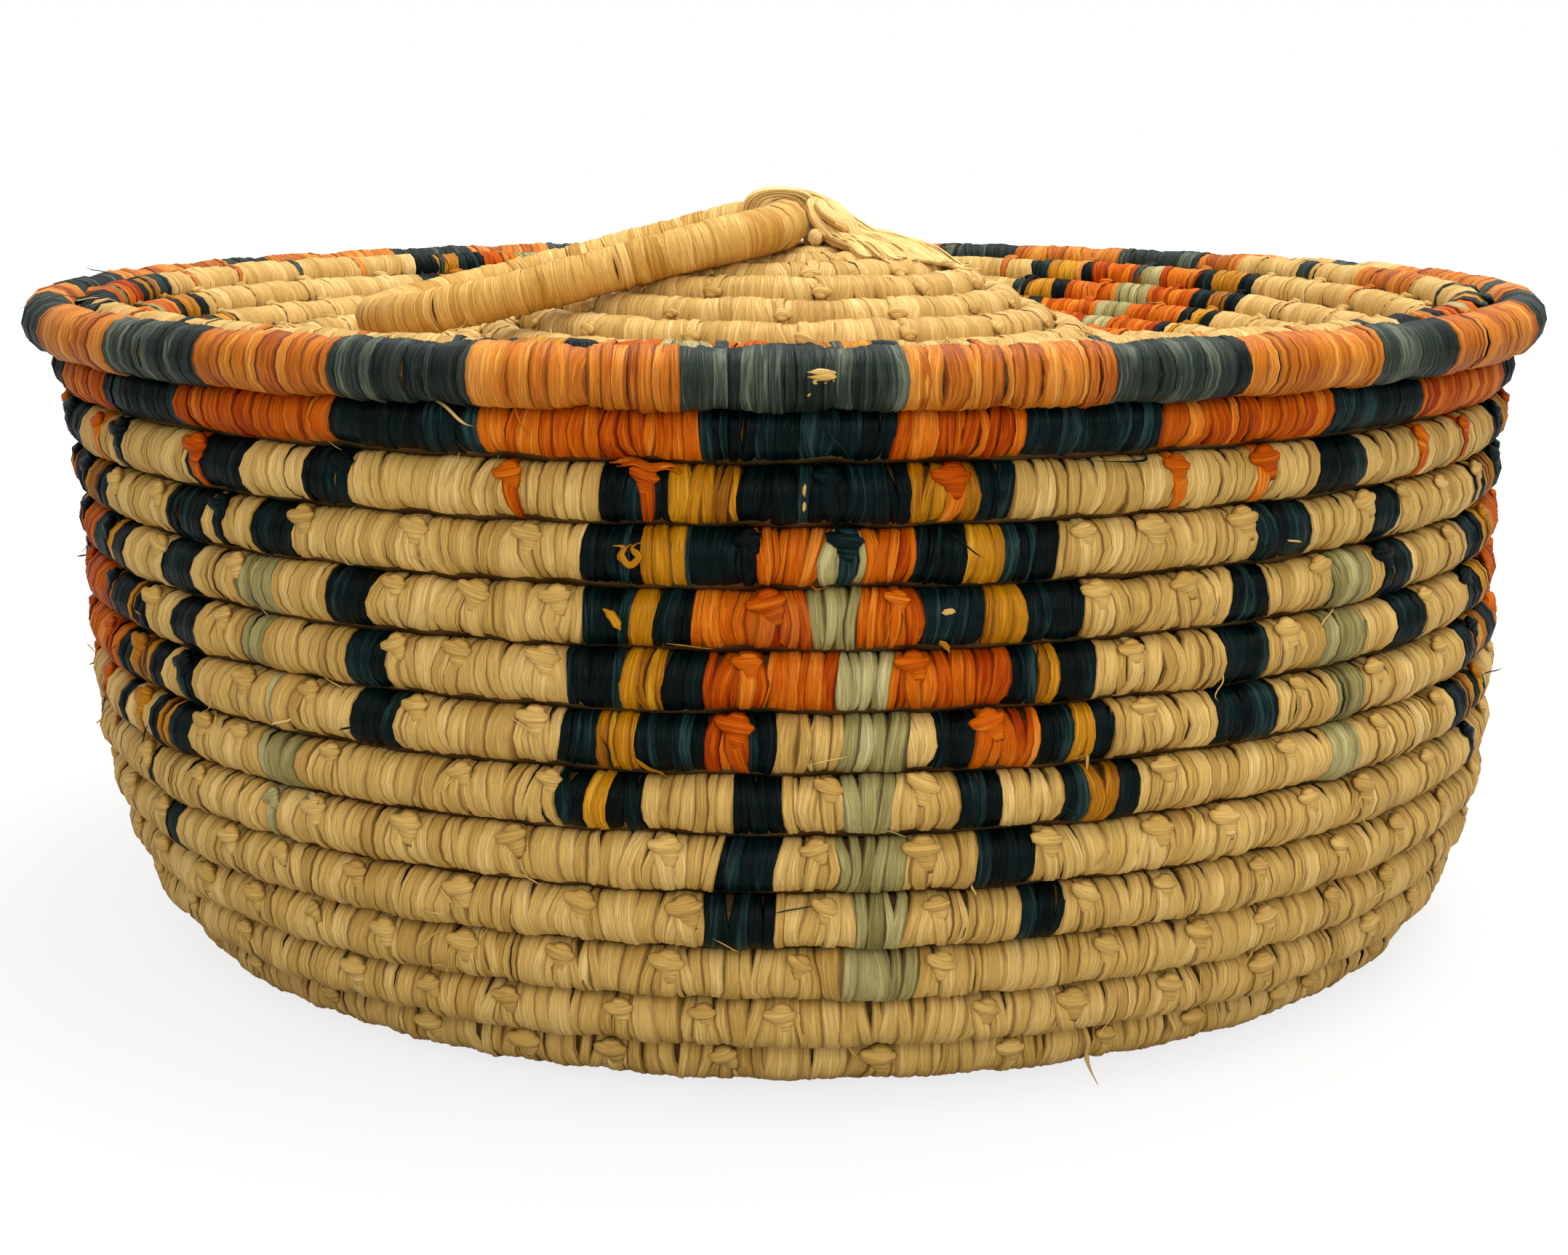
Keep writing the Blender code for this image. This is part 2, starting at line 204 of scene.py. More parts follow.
# The binding stitches. Every couple of centimetres the strand that wraps a turn dives under it,
# goes round the turn before it and pulls the two together, which leaves a small folded knot.
STITCH_SPACING = (0.0180, 0.0255)
FIRST_STITCH_TURN = 1.4
STITCH_PULL_SHARE = 0.105
STITCH_PULL_REACH = 0.0036
SWELL_SHARE = 0.022
WANDER_LENGTHS = (0.029, 0.047, 0.083, 0.131)
WANDER = 0.00042
WANDER_SHARE = 0.035
BASE_STITCHES_DEGREES = {
    23: (-54.5, -43.5, -29.5, -17.5, -8.6, 2.6, 10.2, 25.5, 32.5, 49.5, 57),
    22: (-24.5, -16.5, -2.5, 3.6, 19, 24, 31, 43, 48),
    21: (-41, -26.5, -20.5, -15, -1.5, 6.8, 20, 26.5, 38.5),
    20: (-43, -27, -22, -16, -2.8, 7.6, 22.5, 35.5, 52),
    19: (-34.5, -25.5, -17, -3.7, 12.4, 23.5, 36.5, 45),
    18: (-42, -33, -22.5, -16, 2.1, 8.3, 25, 35.5, 45.5),
    17: (-35, -27, -19, -8.5, 1.1, 8, 16.5, 24.5, 30, 38),
    16: (-39.5, -32, -23.5, -14.5, -7.6, 1.8, 9, 19.5, 25.5, 33.5, 42),
    15: (-44, -37.5, -30.5, -24, -16.5, -9, 0, 9.5, 21.5, 29, 35, 42.5),
    14: (-35, -28, -21.5, -13, -7, -1.6, 13, 19.5, 27.5, 36),
    13: (-30, -21.5, -14.5, -6, 5.5, 15.5, 23.5, 31.5, 41),
}
Stitch = namedtuple("Stitch", "upper lower slant size")


def degrees_from_front(turns):
    """The angle round the basket from its front, positive towards +X."""
    return 360 * (turns - np.floor(turns)) + TURN_START_DEGREES - 270


def turns_at(turn, degrees):
    """How many turns lie before a place on one turn, at degrees from the front."""
    return turn + (degrees + 270 - TURN_START_DEGREES) / 360


def stitched(cord, rng, by_eye=None):
    """Where the stitches of a winding go: along the upper turn, and along the turn that it binds.

    They are placed at random, and on some turns at listed degrees from the front.
    """
    start = np.interp(FIRST_STITCH_TURN, cord.turns, cord.along)
    spacing = rng.uniform(*STITCH_SPACING, int(cord.along[-1] / STITCH_SPACING[0]))
    upper = start + spacing.cumsum()
    upper = upper[upper < cord.along[-1] - STITCH_SPACING[0]]
    for turn, degrees in (by_eye or {}).items():
        seen = np.interp(turns_at(turn, np.array(degrees)), cord.turns, cord.along)
        margin = STITCH_SPACING[0] / 2
        clear = (upper < seen[0] - margin) | (upper > seen[-1] + margin)
        upper = np.sort(np.concatenate((upper[clear], seen)))
    lower = np.interp(np.interp(upper, cord.along, cord.turns) - 1, cord.turns, cord.along)
    count = len(upper)
    return Stitch(upper, lower, rng.normal(0, 0.2, count), rng.uniform(0.8, 1.2, count))


def past_nearest(along, places):
    """How far each place along a cord lies past the nearest of some others, or before it."""
    ordered = np.sort(places)
    after = np.clip(np.searchsorted(ordered, along), 1, len(ordered) - 1)
    before_it, behind_it = ordered[after] - along, along - ordered[after - 1]
    return np.where(before_it < behind_it, -before_it, behind_it)


def hand_laid(cord, rng):
    """The cord as a hand lays it: a little thicker and thinner, further out and in, as it goes."""
    steady = np.clip(cord.turns[-1] - 1.5 - cord.turns, 0, 1)
    waves = cord.along[:, None] * tau / WANDER_LENGTHS
    thicker, further, higher = (
        np.sin(waves + rng.uniform(0, tau, len(WANDER_LENGTHS))).mean(axis=1) * steady
        for _ in range(3)
    )
    place = cord.place + cord.outward * (WANDER * further)[:, None]
    place += cord.upward * (WANDER / 2 * higher)[:, None]
    return cord._replace(place=place, radius=cord.radius * (1 + WANDER_SHARE * thicker))


def drawn_in(cord, stitch):
    """The cord with its swellings between the stitches, where they draw it in from both sides."""
    off = past_nearest(cord.along, np.concatenate((stitch.upper, stitch.lower)))
    pulled = np.exp(-((off / STITCH_PULL_REACH) ** 2))
    return cord._replace(radius=cord.radius * (1 + SWELL_SHARE - STITCH_PULL_SHARE * pulled))


base_rng = np.random.default_rng(11)
base_stitches = stitched(base_cord, base_rng, BASE_STITCHES_DEGREES)
base_cord = drawn_in(hand_laid(base_cord, base_rng), base_stitches)

# Raffia. A strip of palm leaf, split thin, folded lengthwise as it is pulled tight, with fine
# fibres along it and a soft shine. It is used as it dries, or dyed orange, black, ochre or green.

FINE_FIBRES = (6.0, 0.20, 2.0)
COARSE_FIBRES = (1.5, 0.09, 1.0)
CLOUD_SCALE = 95.0
WEAR_SCALE = 38.0
FOLD_WIDTH = 0.035
SHADE_RANGE = (0.26, 0.76)
BUMP_HEIGHT = 0.00030
# Where the painted shade along a strand's edges starts and ends across it, and how dark it gets.
HARD_EDGE_SHADE = (0.52, 0.86, 0.8)
SOFT_EDGE_SHADE = (0.66, 0.96, 0.5)
Finish = namedtuple("Finish", "material slot")


class Dye:
    """A value in a material's nodes, which adds the Maths node that each sum with it needs."""

    def __init__(self, tree, socket):
        self.tree = tree
        self.socket = socket

    def node(self, kind, settings=(), **values):
        """Adds a node, makes its settings and then fills its sockets with values or links."""
        made = self.tree.nodes.new(kind)
        for name, value in dict(settings).items():
            if name == "stops":
                for index, (position, colour) in enumerate(value):
                    ramp = made.color_ramp.elements
                    stop = ramp[index] if index < 2 else ramp.new(position)
                    stop.position = position
                    stop.color = (*colour, 1)
            else:
                setattr(made, name, value)
        for name, value in values.items():
            key = int(name[1:]) if name[0] == "_" else name.replace("_", " ")
            if isinstance(value, Dye):
                self.tree.links.new(value.socket, made.inputs[key])
            else:
                made.inputs[key].default_value = value
        return made

    def output(self, kind, which, settings=(), **values):
        return Dye(self.tree, self.node(kind, settings, **values).outputs[which])

    def sum(self, operation, first, second=0.0, clamp=False):
        settings = {"operation": operation, "use_clamp": clamp}
        return self.output("ShaderNodeMath", 0, settings, _0=first, _1=second)

    def __add__(self, other):
        return self.sum("ADD", self, other)

    __radd__ = __add__

    def __sub__(self, other):
        return self.sum("SUBTRACT", self, other)

    def __rsub__(self, other):
        return self.sum("SUBTRACT", other, self)

    def __mul__(self, other):
        return self.sum("MULTIPLY", self, other)

    __rmul__ = __mul__

    def ramped(self, low, high):
        """0 below low, 1 above high and smooth between them."""
        settings = {"interpolation_type": "SMOOTHSTEP"}
        return self.output("ShaderNodeMapRange", 0, settings, _0=self, _1=low, _2=high)

    def mixed(self, first, second, blend="MIX"):
        """One colour turning into another as this value goes from 0 to 1."""
        settings = {"data_type": "RGBA", "blend_type": blend}
        return self.output("ShaderNodeMix", 2, settings, _0=self, _6=first, _7=second)


def colour(red, green, blue):
    """A colour as the eye reads it, from 0 to 255, in the linear numbers that a shader takes."""
    parts = (part / 255 for part in (red, green, blue))
    return tuple(
        ((part + 0.055) / 1.055) ** 2.4 if part > 0.04045 else part / 12.92 for part in parts
    )


def raffia(name, slot, shades, groove, roughness, gloss=0.14, fade=None, line=HARD_EDGE_SHADE):
    """The finish of a raffia strand: its shades from dark to light, and the colour of the painted
    shade in its grooves and creases.

    The mesh gives each strand's own tone, where painted shade falls near its edges, and where a
    point is across and along it.
    """
    made = bpy.data.materials.new(name)
    made.use_nodes = True
    tree = made.node_tree
    shader = tree.nodes["Principled BSDF"]
    start = Dye(tree, None)
    strand = start.output("ShaderNodeUVMap", 0, {"uv_map": "strand"})
    tone = start.output("ShaderNodeAttribute", 2, {"attribute_name": "tone"})
    edge = start.output("ShaderNodeAttribute", 2, {"attribute_name": "edge"})
    here = start.output("ShaderNodeTexCoord", 3)

    def fibres(across, lengthwise, detail):
        """Streaks along the strand, so many of them in a millimetre across it."""
        stretched = start.output(
            "ShaderNodeVectorMath", 0, {"operation": "MULTIPLY"},
            _0=strand, _1=(across * 1000, lengthwise * 1000, 1),
        )
        return start.output(
            "ShaderNodeTexNoise", 0, {"noise_dimensions": "3D"},
            Vector=stretched, Scale=1.0, Detail=detail, Roughness=0.6,
        )

    fine = fibres(*FINE_FIBRES)
    coarse = fibres(*COARSE_FIBRES)
    cloud = start.output("ShaderNodeTexNoise", 0, Vector=here, Scale=CLOUD_SCALE, Detail=3.0)
    fold = 1 - start.sum("ABSOLUTE", coarse - 0.5).ramped(0.0, FOLD_WIDTH)
    value = tone * 0.34 + fine * 0.34 + coarse * 0.50 + cloud * 0.36 - 0.27
    positions = np.linspace(*SHADE_RANGE, len(shades))
    stops = [(float(position), colour(*shade)) for position, shade in zip(positions, shades)]
    dyed = start.output("ShaderNodeValToRGB", 0, {"stops": stops}, Fac=value)
    if fade is not None:
        worn = start.output("ShaderNodeTexNoise", 0, Vector=here, Scale=WEAR_SCALE, Detail=5.0)
        dyed = ((worn + tone * 0.12).ramped(0.64, 0.78) * 0.32).mixed(dyed, (*colour(*fade), 1))
    # Painted shade: the groove colour darkens the fold lines a little, and the strand's edges where
    # its neighbours overlap, as shade would fall in these creases.
    dark = (*colour(*groove), 1)
    fold_shaded = (fold * 0.14).mixed(dyed, dark)
    shade_start, shade_end, shade_depth = line
    uneven = shade_depth * (1.15 - tone * 0.85)
    edge_shaded = (edge.ramped(shade_start, shade_end) * uneven).mixed(fold_shaded, dark)
    height = fine * 0.4 + coarse * 1.3 - fold * 0.25 + cloud * 1.6
    bump = start.output("ShaderNodeBump", 0, Strength=0.9, Distance=BUMP_HEIGHT, Height=height)
    rough = roughness + (fine - 0.5) * 0.30 + fold * 0.12
    tree.links.new(edge_shaded.socket, shader.inputs["Base Color"])
    tree.links.new(rough.socket, shader.inputs["Roughness"])
    tree.links.new(bump.socket, shader.inputs["Normal"])
    shader.inputs["Specular IOR Level"].default_value = gloss
    return Finish(made, slot)


NATURAL = "n"
LID_NATURAL = "l"
ORANGE = "o"
PAINTED_LIGHT_ORANGE = "f"
BLACK = "k"
PAINTED_LIGHT_BLACK = "b"
OCHRE = "y"
GREEN = "g"
finishes = {
    NATURAL: raffia(
        "natural_strand", "natural_raffia",
        ((175, 135, 65), (198, 158, 82), (211, 172, 96), (228, 192, 120)),
        (104, 70, 20), 0.46,
    ),
    LID_NATURAL: raffia(
        "smooth_natural_strand", "natural_raffia",
        ((176, 136, 71), (198, 159, 87), (210, 172, 101), (228, 192, 126)),
        (132, 92, 34), 0.46, line=SOFT_EDGE_SHADE,
    ),
    ORANGE: raffia(
        "orange_strand", "orange_raffia",
        ((144, 42, 0), (184, 78, 0), (206, 104, 12), (228, 138, 46)),
        (84, 16, 0), 0.40, 0.05, (212, 136, 66),
    ),
    # Paler shades for the lid rim's orange: a painted light on the rim's top, which faces up. Its
    # pale patches are wear, as on the other orange.
    PAINTED_LIGHT_ORANGE: raffia(
        "painted_light_orange_strand", "orange_raffia",
        ((142, 62, 2), (186, 100, 14), (203, 120, 28), (228, 156, 68)),
        (96, 32, 0), 0.42, 0.16, (208, 150, 86),
    ),
    BLACK: raffia(
        "black_strand", "black_raffia",
        ((0, 5, 5), (2, 14, 14), (8, 27, 27), (38, 64, 63)),
        (0, 2, 2), 0.36, 0.07,
    ),
    # Paler shades for the lid rim's black: a painted light on the rim's top, which faces up.
    PAINTED_LIGHT_BLACK: raffia(
        "painted_light_black_strand", "black_raffia",
        ((10, 20, 17), (32, 42, 36), (50, 60, 51), (104, 110, 92)),
        (2, 6, 5), 0.36, 0.12,
    ),
    OCHRE: raffia(
        "ochre_strand", "ochre_raffia",
        ((122, 68, 0), (170, 106, 2), (194, 130, 12), (220, 166, 48)),
        (56, 28, 0), 0.42, 0.12,
    ),
    GREEN: raffia(
        "green_strand", "green_raffia",
        ((112, 102, 52), (152, 140, 84), (170, 158, 102), (196, 184, 130)),
        (48, 42, 14), 0.46,
    ),
}

# The wraps. A strand goes round the cord again and again, each round lying against the last. One
# round is modelled as a ring and copied. Its edges are folded in and darkened with painted shade,
# so that a dark line parts them.
WRAP_WIDTH = 0.0019
WRAP_OVERLAP = 1.36
WIDTH_SPREAD = (-0.03, 0.36)
SLANT = 0.05
SLANT_WANDER = 0.045
SLANT_SPREAD = 0.055
BOW_SPREAD = 0.00022
TIP_SPREAD = 0.021
LIFT_SPREAD = 0.00009
NECK_SHARE = 0.42
RIPPLE_SHARE = 0.017
MOST_ROUNDS = 1350
GATHER_SHARE = 0.56
GATHER_REACH = 0.0042
PLAIN_SIDES = 11
PLAIN_ROWS = ((-1.0, -0.050), (-0.72, -0.006), (0.0, 0.010), (0.72, -0.006), (1.0, -0.050))
FOLDED_SIDES = 12
FOLDED_ROWS = (
    (-1.0, -0.054),
    (-0.78, -0.010),
    (-0.30, 0.012),
    (0.08, -0.010),
    (0.40, 0.014),
    (0.78, -0.008),
    (1.0, -0.054),
)
Form = namedtuple("Form", "angle across reach corners sides around")
Round = namedtuple("Round", "at width slant bow tip lift neck_next neck_last turn_over tone colour")
Winding = namedtuple("Winding", "cord stitch rounds colours body")


def modelled_round(sides, rows):
    """One round of a strand on a cord of radius 1: a circle, extruded and resized row by row."""
    bpy.ops.mesh.primitive_circle_add(vertices=sides, radius=1 + rows[0][1], location=(0, 0, 0))
    ring = bpy.context.object
    bpy.ops.object.mode_set(mode="EDIT")
    bpy.ops.mesh.select_all(action="SELECT")
    bpy.ops.transform.translate(value=(0, 0, rows[0][0]))
    for (across, reach), (last_across, last_reach) in zip(rows[1:], rows):
        bpy.ops.mesh.extrude_region_move(
            TRANSFORM_OT_translate={"value": (0, 0, across - last_across)}
        )
        size = (1 + reach) / (1 + last_reach)
        bpy.ops.transform.resize(value=(size, size, 1))
    bpy.ops.mesh.select_all(action="SELECT")
    bpy.ops.mesh.normals_make_consistent(inside=False)
    bpy.ops.object.mode_set(mode="OBJECT")
    mesh = ring.data
    points = np.array([vertex.co for vertex in mesh.vertices])
    angle = np.arctan2(points[:, 1], points[:, 0])
    middle = mesh.polygons[0]
    outwards = Vector((middle.center.x, middle.center.y, 0)).dot(middle.normal) > 0
    corners, sizes, around = [], [], []
    for face in mesh.polygons:
        loop = list(face.vertices) if outwards else list(reversed(face.vertices))
        turned = angle[loop]
        if np.ptp(turned) > pi:
            turned = np.where(turned < 0, turned + tau, turned)
        sizes.append(len(loop))
        corners += loop
        around += list(turned)
    reach = np.hypot(points[:, 0], points[:, 1])
    form = Form(
        angle, points[:, 2], reach, np.array(corners), np.array(sizes), np.array(around)
    )
    bpy.data.objects.remove(ring)
    bpy.data.meshes.remove(mesh)
    return form


def wrapped(cord, width, rng, colours, neck=NECK_SHARE):
    """All rounds of the strand along a cord, none of them quite alike."""
    end = cord.along[-1]
    steps = width * rng.lognormal(*WIDTH_SPREAD, int(end / width * 1.3) + 8)
    edges = np.concatenate(((0,), steps.cumsum()))
    count = int(np.searchsorted(edges, end))
    at = (edges[:count] + edges[1 : count + 1]) / 2
    wander = np.sin(at * 61 + 1) + np.sin(at * 148 + 4)
    return Round(
        at,
        (edges[1 : count + 1] - edges[:count]) * WRAP_OVERLAP,
        SLANT + SLANT_WANDER * wander + rng.normal(0, SLANT_SPREAD, count),
        rng.normal(0, BOW_SPREAD, count),
        rng.normal(0, TIP_SPREAD, count),
        rng.normal(0, LIFT_SPREAD, count),
        rng.uniform(0, neck, count),
        rng.uniform(0, neck, count),
        rng.uniform(0, tau, count),
        rng.uniform(0, 1, count),
        colours(np.interp(at, cord.along, cord.turns)),
    )


def chosen(rows, which):
    return type(rows)(*(part[which] for part in rows))


def pressed(points, height):
    """The points, with those that lie below a height pressed up towards it."""
    if height:
        low = points[:, 2] < height
        points[low, 2] = height * np.exp(points[low, 2] / height - 1)
    return points


def along_cord(cord, along):
    """The cord's middle, its two sideways directions, its radius and its lay at places along it."""
    at = np.interp(along, cord.along, np.arange(len(cord.along)))
    first = np.minimum(at.astype(int), len(cord.along) - 2)
    share = (at - first)[..., None]
    place, outward, upward = (
        part[first] * (1 - share) + part[first + 1] * share
        for part in (cord.place, cord.outward, cord.upward)
    )
    radius, lay = (np.interp(along, cord.along, part) for part in (cord.radius, cord.lay))
    return place, outward, upward, radius, lay


def mesh_of(name, points, corners, sizes, strand, edge, tone, finish, body):
    """A smooth mesh from arrays, with what its finish reads, on the body that carries it."""
    mesh = bpy.data.meshes.new(name)
    mesh.vertices.add(len(points))
    mesh.vertices.foreach_set("co", points.astype(np.float32).ravel())
    mesh.loops.add(len(corners))
    mesh.loops.foreach_set("vertex_index", corners.astype(np.int32))
    mesh.polygons.add(len(sizes))
    mesh.polygons.foreach_set("loop_start", (sizes.cumsum() - sizes).astype(np.int32))
    mesh.polygons.foreach_set("loop_total", sizes.astype(np.int32))
    mesh.update(calc_edges=True)
    mesh.validate()
    mesh.shade_smooth()
    uv_map = mesh.uv_layers.new(name="strand")
    uv_map.data.foreach_set("uv", strand.astype(np.float32).ravel())
    for title, values in (("edge", edge), ("tone", tone)):
        layer = mesh.attributes.new(title, "FLOAT", "POINT")
        layer.data.foreach_set("value", values.astype(np.float32))
    mesh.materials.append(finish.material)
    made = bpy.data.objects.new(name, mesh)
    bpy.context.scene.collection.objects.link(made)
    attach(made, body)
    return made


def gathered(along, to_next, stitch):
    """Where the strands lie beside a stitch: it draws them together in its groove."""
    for places, beside in ((stitch.upper, -to_next), (stitch.lower, to_next)):
        off = past_nearest(along, places)
        near = np.exp(-((off / GATHER_REACH) ** 2)) * np.maximum(beside, 0) ** 1.5
        along = along - GATHER_SHARE * off * near
    return along


def wound(name, cord, rounds, form, finish, body, stitch=None, press_down=None):
    """The rounds of one piece, each a copy of the form, laid round the cord."""
    count, size = len(rounds.at), len(form.angle)
    column = Round(*(np.asarray(part)[:, None] for part in rounds))
    facing = pi / 2 - (form.angle[None] + np.zeros((count, 1)))
    lay = np.interp(rounds.at, cord.along, cord.lay)[:, None]
    to_next = np.cos(facing - lay)
    narrow = 1 - column.neck_next * np.maximum(to_next, 0) ** 2
    narrow -= column.neck_last * np.maximum(-to_next, 0) ** 2
    thick = np.interp(rounds.at, cord.along, cord.radius)[:, None]
    across = form.across[None]
    along = column.at + thick * np.tan(column.slant) * to_next
    along += column.bow * (to_next**2 - 0.5) * 2 + across * column.width / 2 * narrow
    if stitch:
        along = gathered(along, to_next, stitch)
    along = np.clip(along, 0, cord.along[-1])
    place, outward, upward, radius, _ = along_cord(cord, along)
    ripple = 1 + RIPPLE_SHARE * np.sin(3 * facing + column.turn_over) * (1 - across**2)
    reach = radius * form.reach[None] * (1 + column.tip * across) * ripple + column.lift
    points = place + outward * (reach * np.cos(facing))[..., None]
    points = points + upward * (reach * np.sin(facing))[..., None]
    corners = (form.corners[None] + (np.arange(count) * size)[:, None]).ravel()
    across_map = (form.across[form.corners][None] + 1) / 2 * column.width
    across_map = across_map + column.turn_over * 0.02
    around_map = form.around[None] * thick + column.tone * 0.5
    strand = np.stack((across_map, np.broadcast_to(around_map, across_map.shape)), axis=-1)
    # How much painted shade each point gets: more towards the strand's edges.
    edge = np.broadcast_to(np.abs(across), (count, size)).ravel()
    return mesh_of(
        name, pressed(points.reshape(-1, 3), press_down), corners, np.tile(form.sides, count),
        strand.reshape(-1, 2), edge, np.repeat(rounds.tone, size), finish, body,
    )


plain_form = modelled_round(PLAIN_SIDES, PLAIN_ROWS)
folded_form = modelled_round(FOLDED_SIDES, FOLDED_ROWS)

# The pattern. The weaver changes strands to change colour. Each turn's runs are read from left to
# right past the front: the colour, and the degrees from the front at which it ends.
BASE_RUNS = {
    23: "o-78 k-65.5 o-55 k-45 o-30 k-19 o-5 k7 o15 k24.5 o38 k48.5 o66 k78",
    22: "o-74 k-63 n-44 k-38 n-33 k-30 n-11.5 k-7 y-3 k7.5 y11.5 k14.5 n37 k42 n64 k70 y74",
    21: "o-73 k-66 y-62 k-59 n-48 k-44 n-38 k-34.5 n-13 k-9.5 y-6.5 k-2 o2 g5 o8 k11 y14 k17 n32.5"
    " k37 n44 k47 n60 k64 y71 k75",
    20: "o-64 k-61 y-59 k-57 n-50 k-46 n-40.5 g-37 n-32 k-28.5 n-13.5 k-10 y-8.5 k-6 o1 g4 o9 k12"
    " y15 k18.5 n30.5 k33.5 n39 g43 n47 k49 n60 k64 y68 o75",
    19: "o-60 k-57 y-55 k-53 n-49 k-45.5 n-41 g-38 n-31 k-28 n-14.5 k-11 y-8 k-6 o3 g6 o13.5 k16"
    " y17 k20 n30 k33 n39 g43 n47 k51 n61 k64 y67 k69 o75",
    18: "o-60 k-58 y-54 k-51 n-49 k-47 n-39 g-37 n-30.5 k-27 n-15 k-12.5 y-10 k-6 o-2.5 k-1 n3 g7"
    " n9 k12 o16 k18 y19.5 k21 n29 k34 n40 g43.5 n59 k62 y68 k71 o75",
    17: "n-61 k-59 n-54 k-52 y-51 k-49 n-40 g-36.5 n-16.5 k-14 y-12 k-10 n-4.5 k-1 n3.5 g6 n10"
    " k13.5 n17 k19 y21 k23 n40 g43 n57 k60 y63 k67 n75",
    16: "n-58 k-56 n-5 k-1.5 n3 g6.5 n12 k15 n75",
    15: "n-55 k-53 n-6 k-2 n4 g7 n14.5 k18 n75",
    14: "n3 g7.5 n75",
}
READ_REACH_DEGREES = 75
BASE_MOTIFS_DEGREES = (-139, -67.5, 5, 78, 149.5)
MOTIF_MIDDLE_DEGREES = 5


def run_colours(runs, degrees):
    """The colours at some angles of one turn, whose runs are written as colour and end."""
    words = runs.split()
    ends = np.array([float(word[1:]) for word in words])
    letters = np.array([word[0] for word in words])
    return letters[np.minimum(np.searchsorted(ends, degrees), len(ends) - 1)]


def beside_motif(degrees, motifs):
    """How many degrees each place lies beside the nearest motif's middle."""
    return np.abs((degrees[:, None] - np.array(motifs)[None] + 180) % 360 - 180).min(axis=1)


def base_colours(turns):
    degrees = degrees_from_front(turns)
    repeated = np.abs(degrees) > READ_REACH_DEGREES
    beside = MOTIF_MIDDLE_DEGREES + beside_motif(degrees, BASE_MOTIFS_DEGREES)
    degrees = np.where(repeated, beside, degrees)
    colours = np.full(len(turns), NATURAL)
    for turn, runs in BASE_RUNS.items():
        which = np.minimum(np.floor(turns), RIM_TURN) == turn
        colours[which] = run_colours(runs, degrees[which])
    return colours


base_rounds = wrapped(base_cord, WRAP_WIDTH, base_rng, base_colours)
base = Winding(base_cord, base_stitches, base_rounds, base_colours, "base")

# The grass inside the cords. It shows only where two wraps part, in dark straw shades: partly its
# own colour and partly a painted shade for those narrow gaps. Each bundle is a plain tube under its
# wraps, drawn up against the turn before it.
BUNDLE_SHARE = 0.87
BUNDLE_CLOSING_SHARE = 1.23
BUNDLE_CLOSING_TURN = 1.2
BUNDLE_SIDES = 8
BUNDLE_STEP = 0.005
straw = raffia(
    "grass_bundle", "natural_raffia",
    ((70, 50, 24), (104, 78, 38), (136, 106, 58)),
    (40, 28, 12), 0.8,
)


def bundle(name, cord, first_turn, last_turn, closing, body, press_down=None):
    """A length of the cord's grass, thinner than its wraps, and closing up to the last turn."""
    start, end = np.interp((first_turn, last_turn), cord.turns, cord.along)
    along = np.linspace(start, end, int((end - start) / BUNDLE_STEP))
    place, outward, upward, radius, lay = along_cord(cord, along)
    angle = lay[:, None] + np.arange(BUNDLE_SIDES) * tau / BUNDLE_SIDES
    reach = radius[:, None] * np.full(BUNDLE_SIDES, BUNDLE_SHARE)
    has_last = closing & (np.interp(along, cord.along, cord.turns) > BUNDLE_CLOSING_TURN)
    reach[has_last, BUNDLE_SIDES // 2] = radius[has_last] * BUNDLE_CLOSING_SHARE
    points = place[:, None] + outward[:, None] * (reach * np.cos(angle))[..., None]
    points = (points + upward[:, None] * (reach * np.sin(angle))[..., None]).reshape(-1, 3)
    ring = np.arange(BUNDLE_SIDES)
    beside = (ring + 1) % BUNDLE_SIDES
    here = np.arange(len(along) - 1)[:, None] * BUNDLE_SIDES
    there = here + BUNDLE_SIDES
    quads = np.stack((here + ring, there + ring, there + beside, here + beside), -1)
    corners = np.concatenate((quads.ravel(), ring, (there[-1] + ring)[::-1]))
    sizes = np.concatenate((np.full(quads.size // 4, 4), (BUNDLE_SIDES, BUNDLE_SIDES)))
    strand = np.stack((corners % BUNDLE_SIDES * 0.003, corners // BUNDLE_SIDES * BUNDLE_STEP), -1)
    none = np.zeros(len(points))
    points = pressed(points, press_down)
    return mesh_of(name, points, corners, sizes, strand, none, none + 0.5, straw, body)


def lay_wraps(name, winding, which, form, press_down=None):
    """Some wraps of a winding, with one piece for each colour, or more where it is long."""
    cord, stitch, rounds, _, body = winding
    for letter, finish in finishes.items():
        same = np.flatnonzero(which & (rounds.colour == letter))
        if not len(same):
            continue
        parts = int(np.ceil(len(same) / MOST_ROUNDS))
        for part, indices in enumerate(np.array_split(same, parts)):
            title = f"{name}_{finish.material.name}" + (f"_{part + 1}" if parts > 1 else "")
            wound(title, cord, chosen(rounds, indices), form, finish, body, stitch, press_down)


def within(cord, at, first_turn, last_turn):
    """Which places along a cord lie between two of its turns."""
    turns = np.interp(at, cord.along, cord.turns)
    return (turns >= first_turn) & (turns <= last_turn)


def coil(name, nodes, winding, turns, form, press_down=None):
    """A winding between two of its turns, in place of CAD nodes: its grass and its wraps."""
    cord, stitch, rounds, _, body = winding
    grass = bundle(f"{name}_bundle", cord, *turns, stitch is not None, body, press_down)
    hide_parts(*nodes)
    lay_wraps(f"{name}_wrap", winding, within(cord, rounds.at, *turns), form, press_down)


# The floor of the base. The first twelve turns of the cord, wound flat. The basket's weight has
# pressed their wraps flat underneath.
PRESSED_HEIGHT = 0.0012
floor_turns = (START_TURN, FLOOR_TURNS)
coil("floor", ("floor_coil",), base, floor_turns, plain_form, PRESSED_HEIGHT)

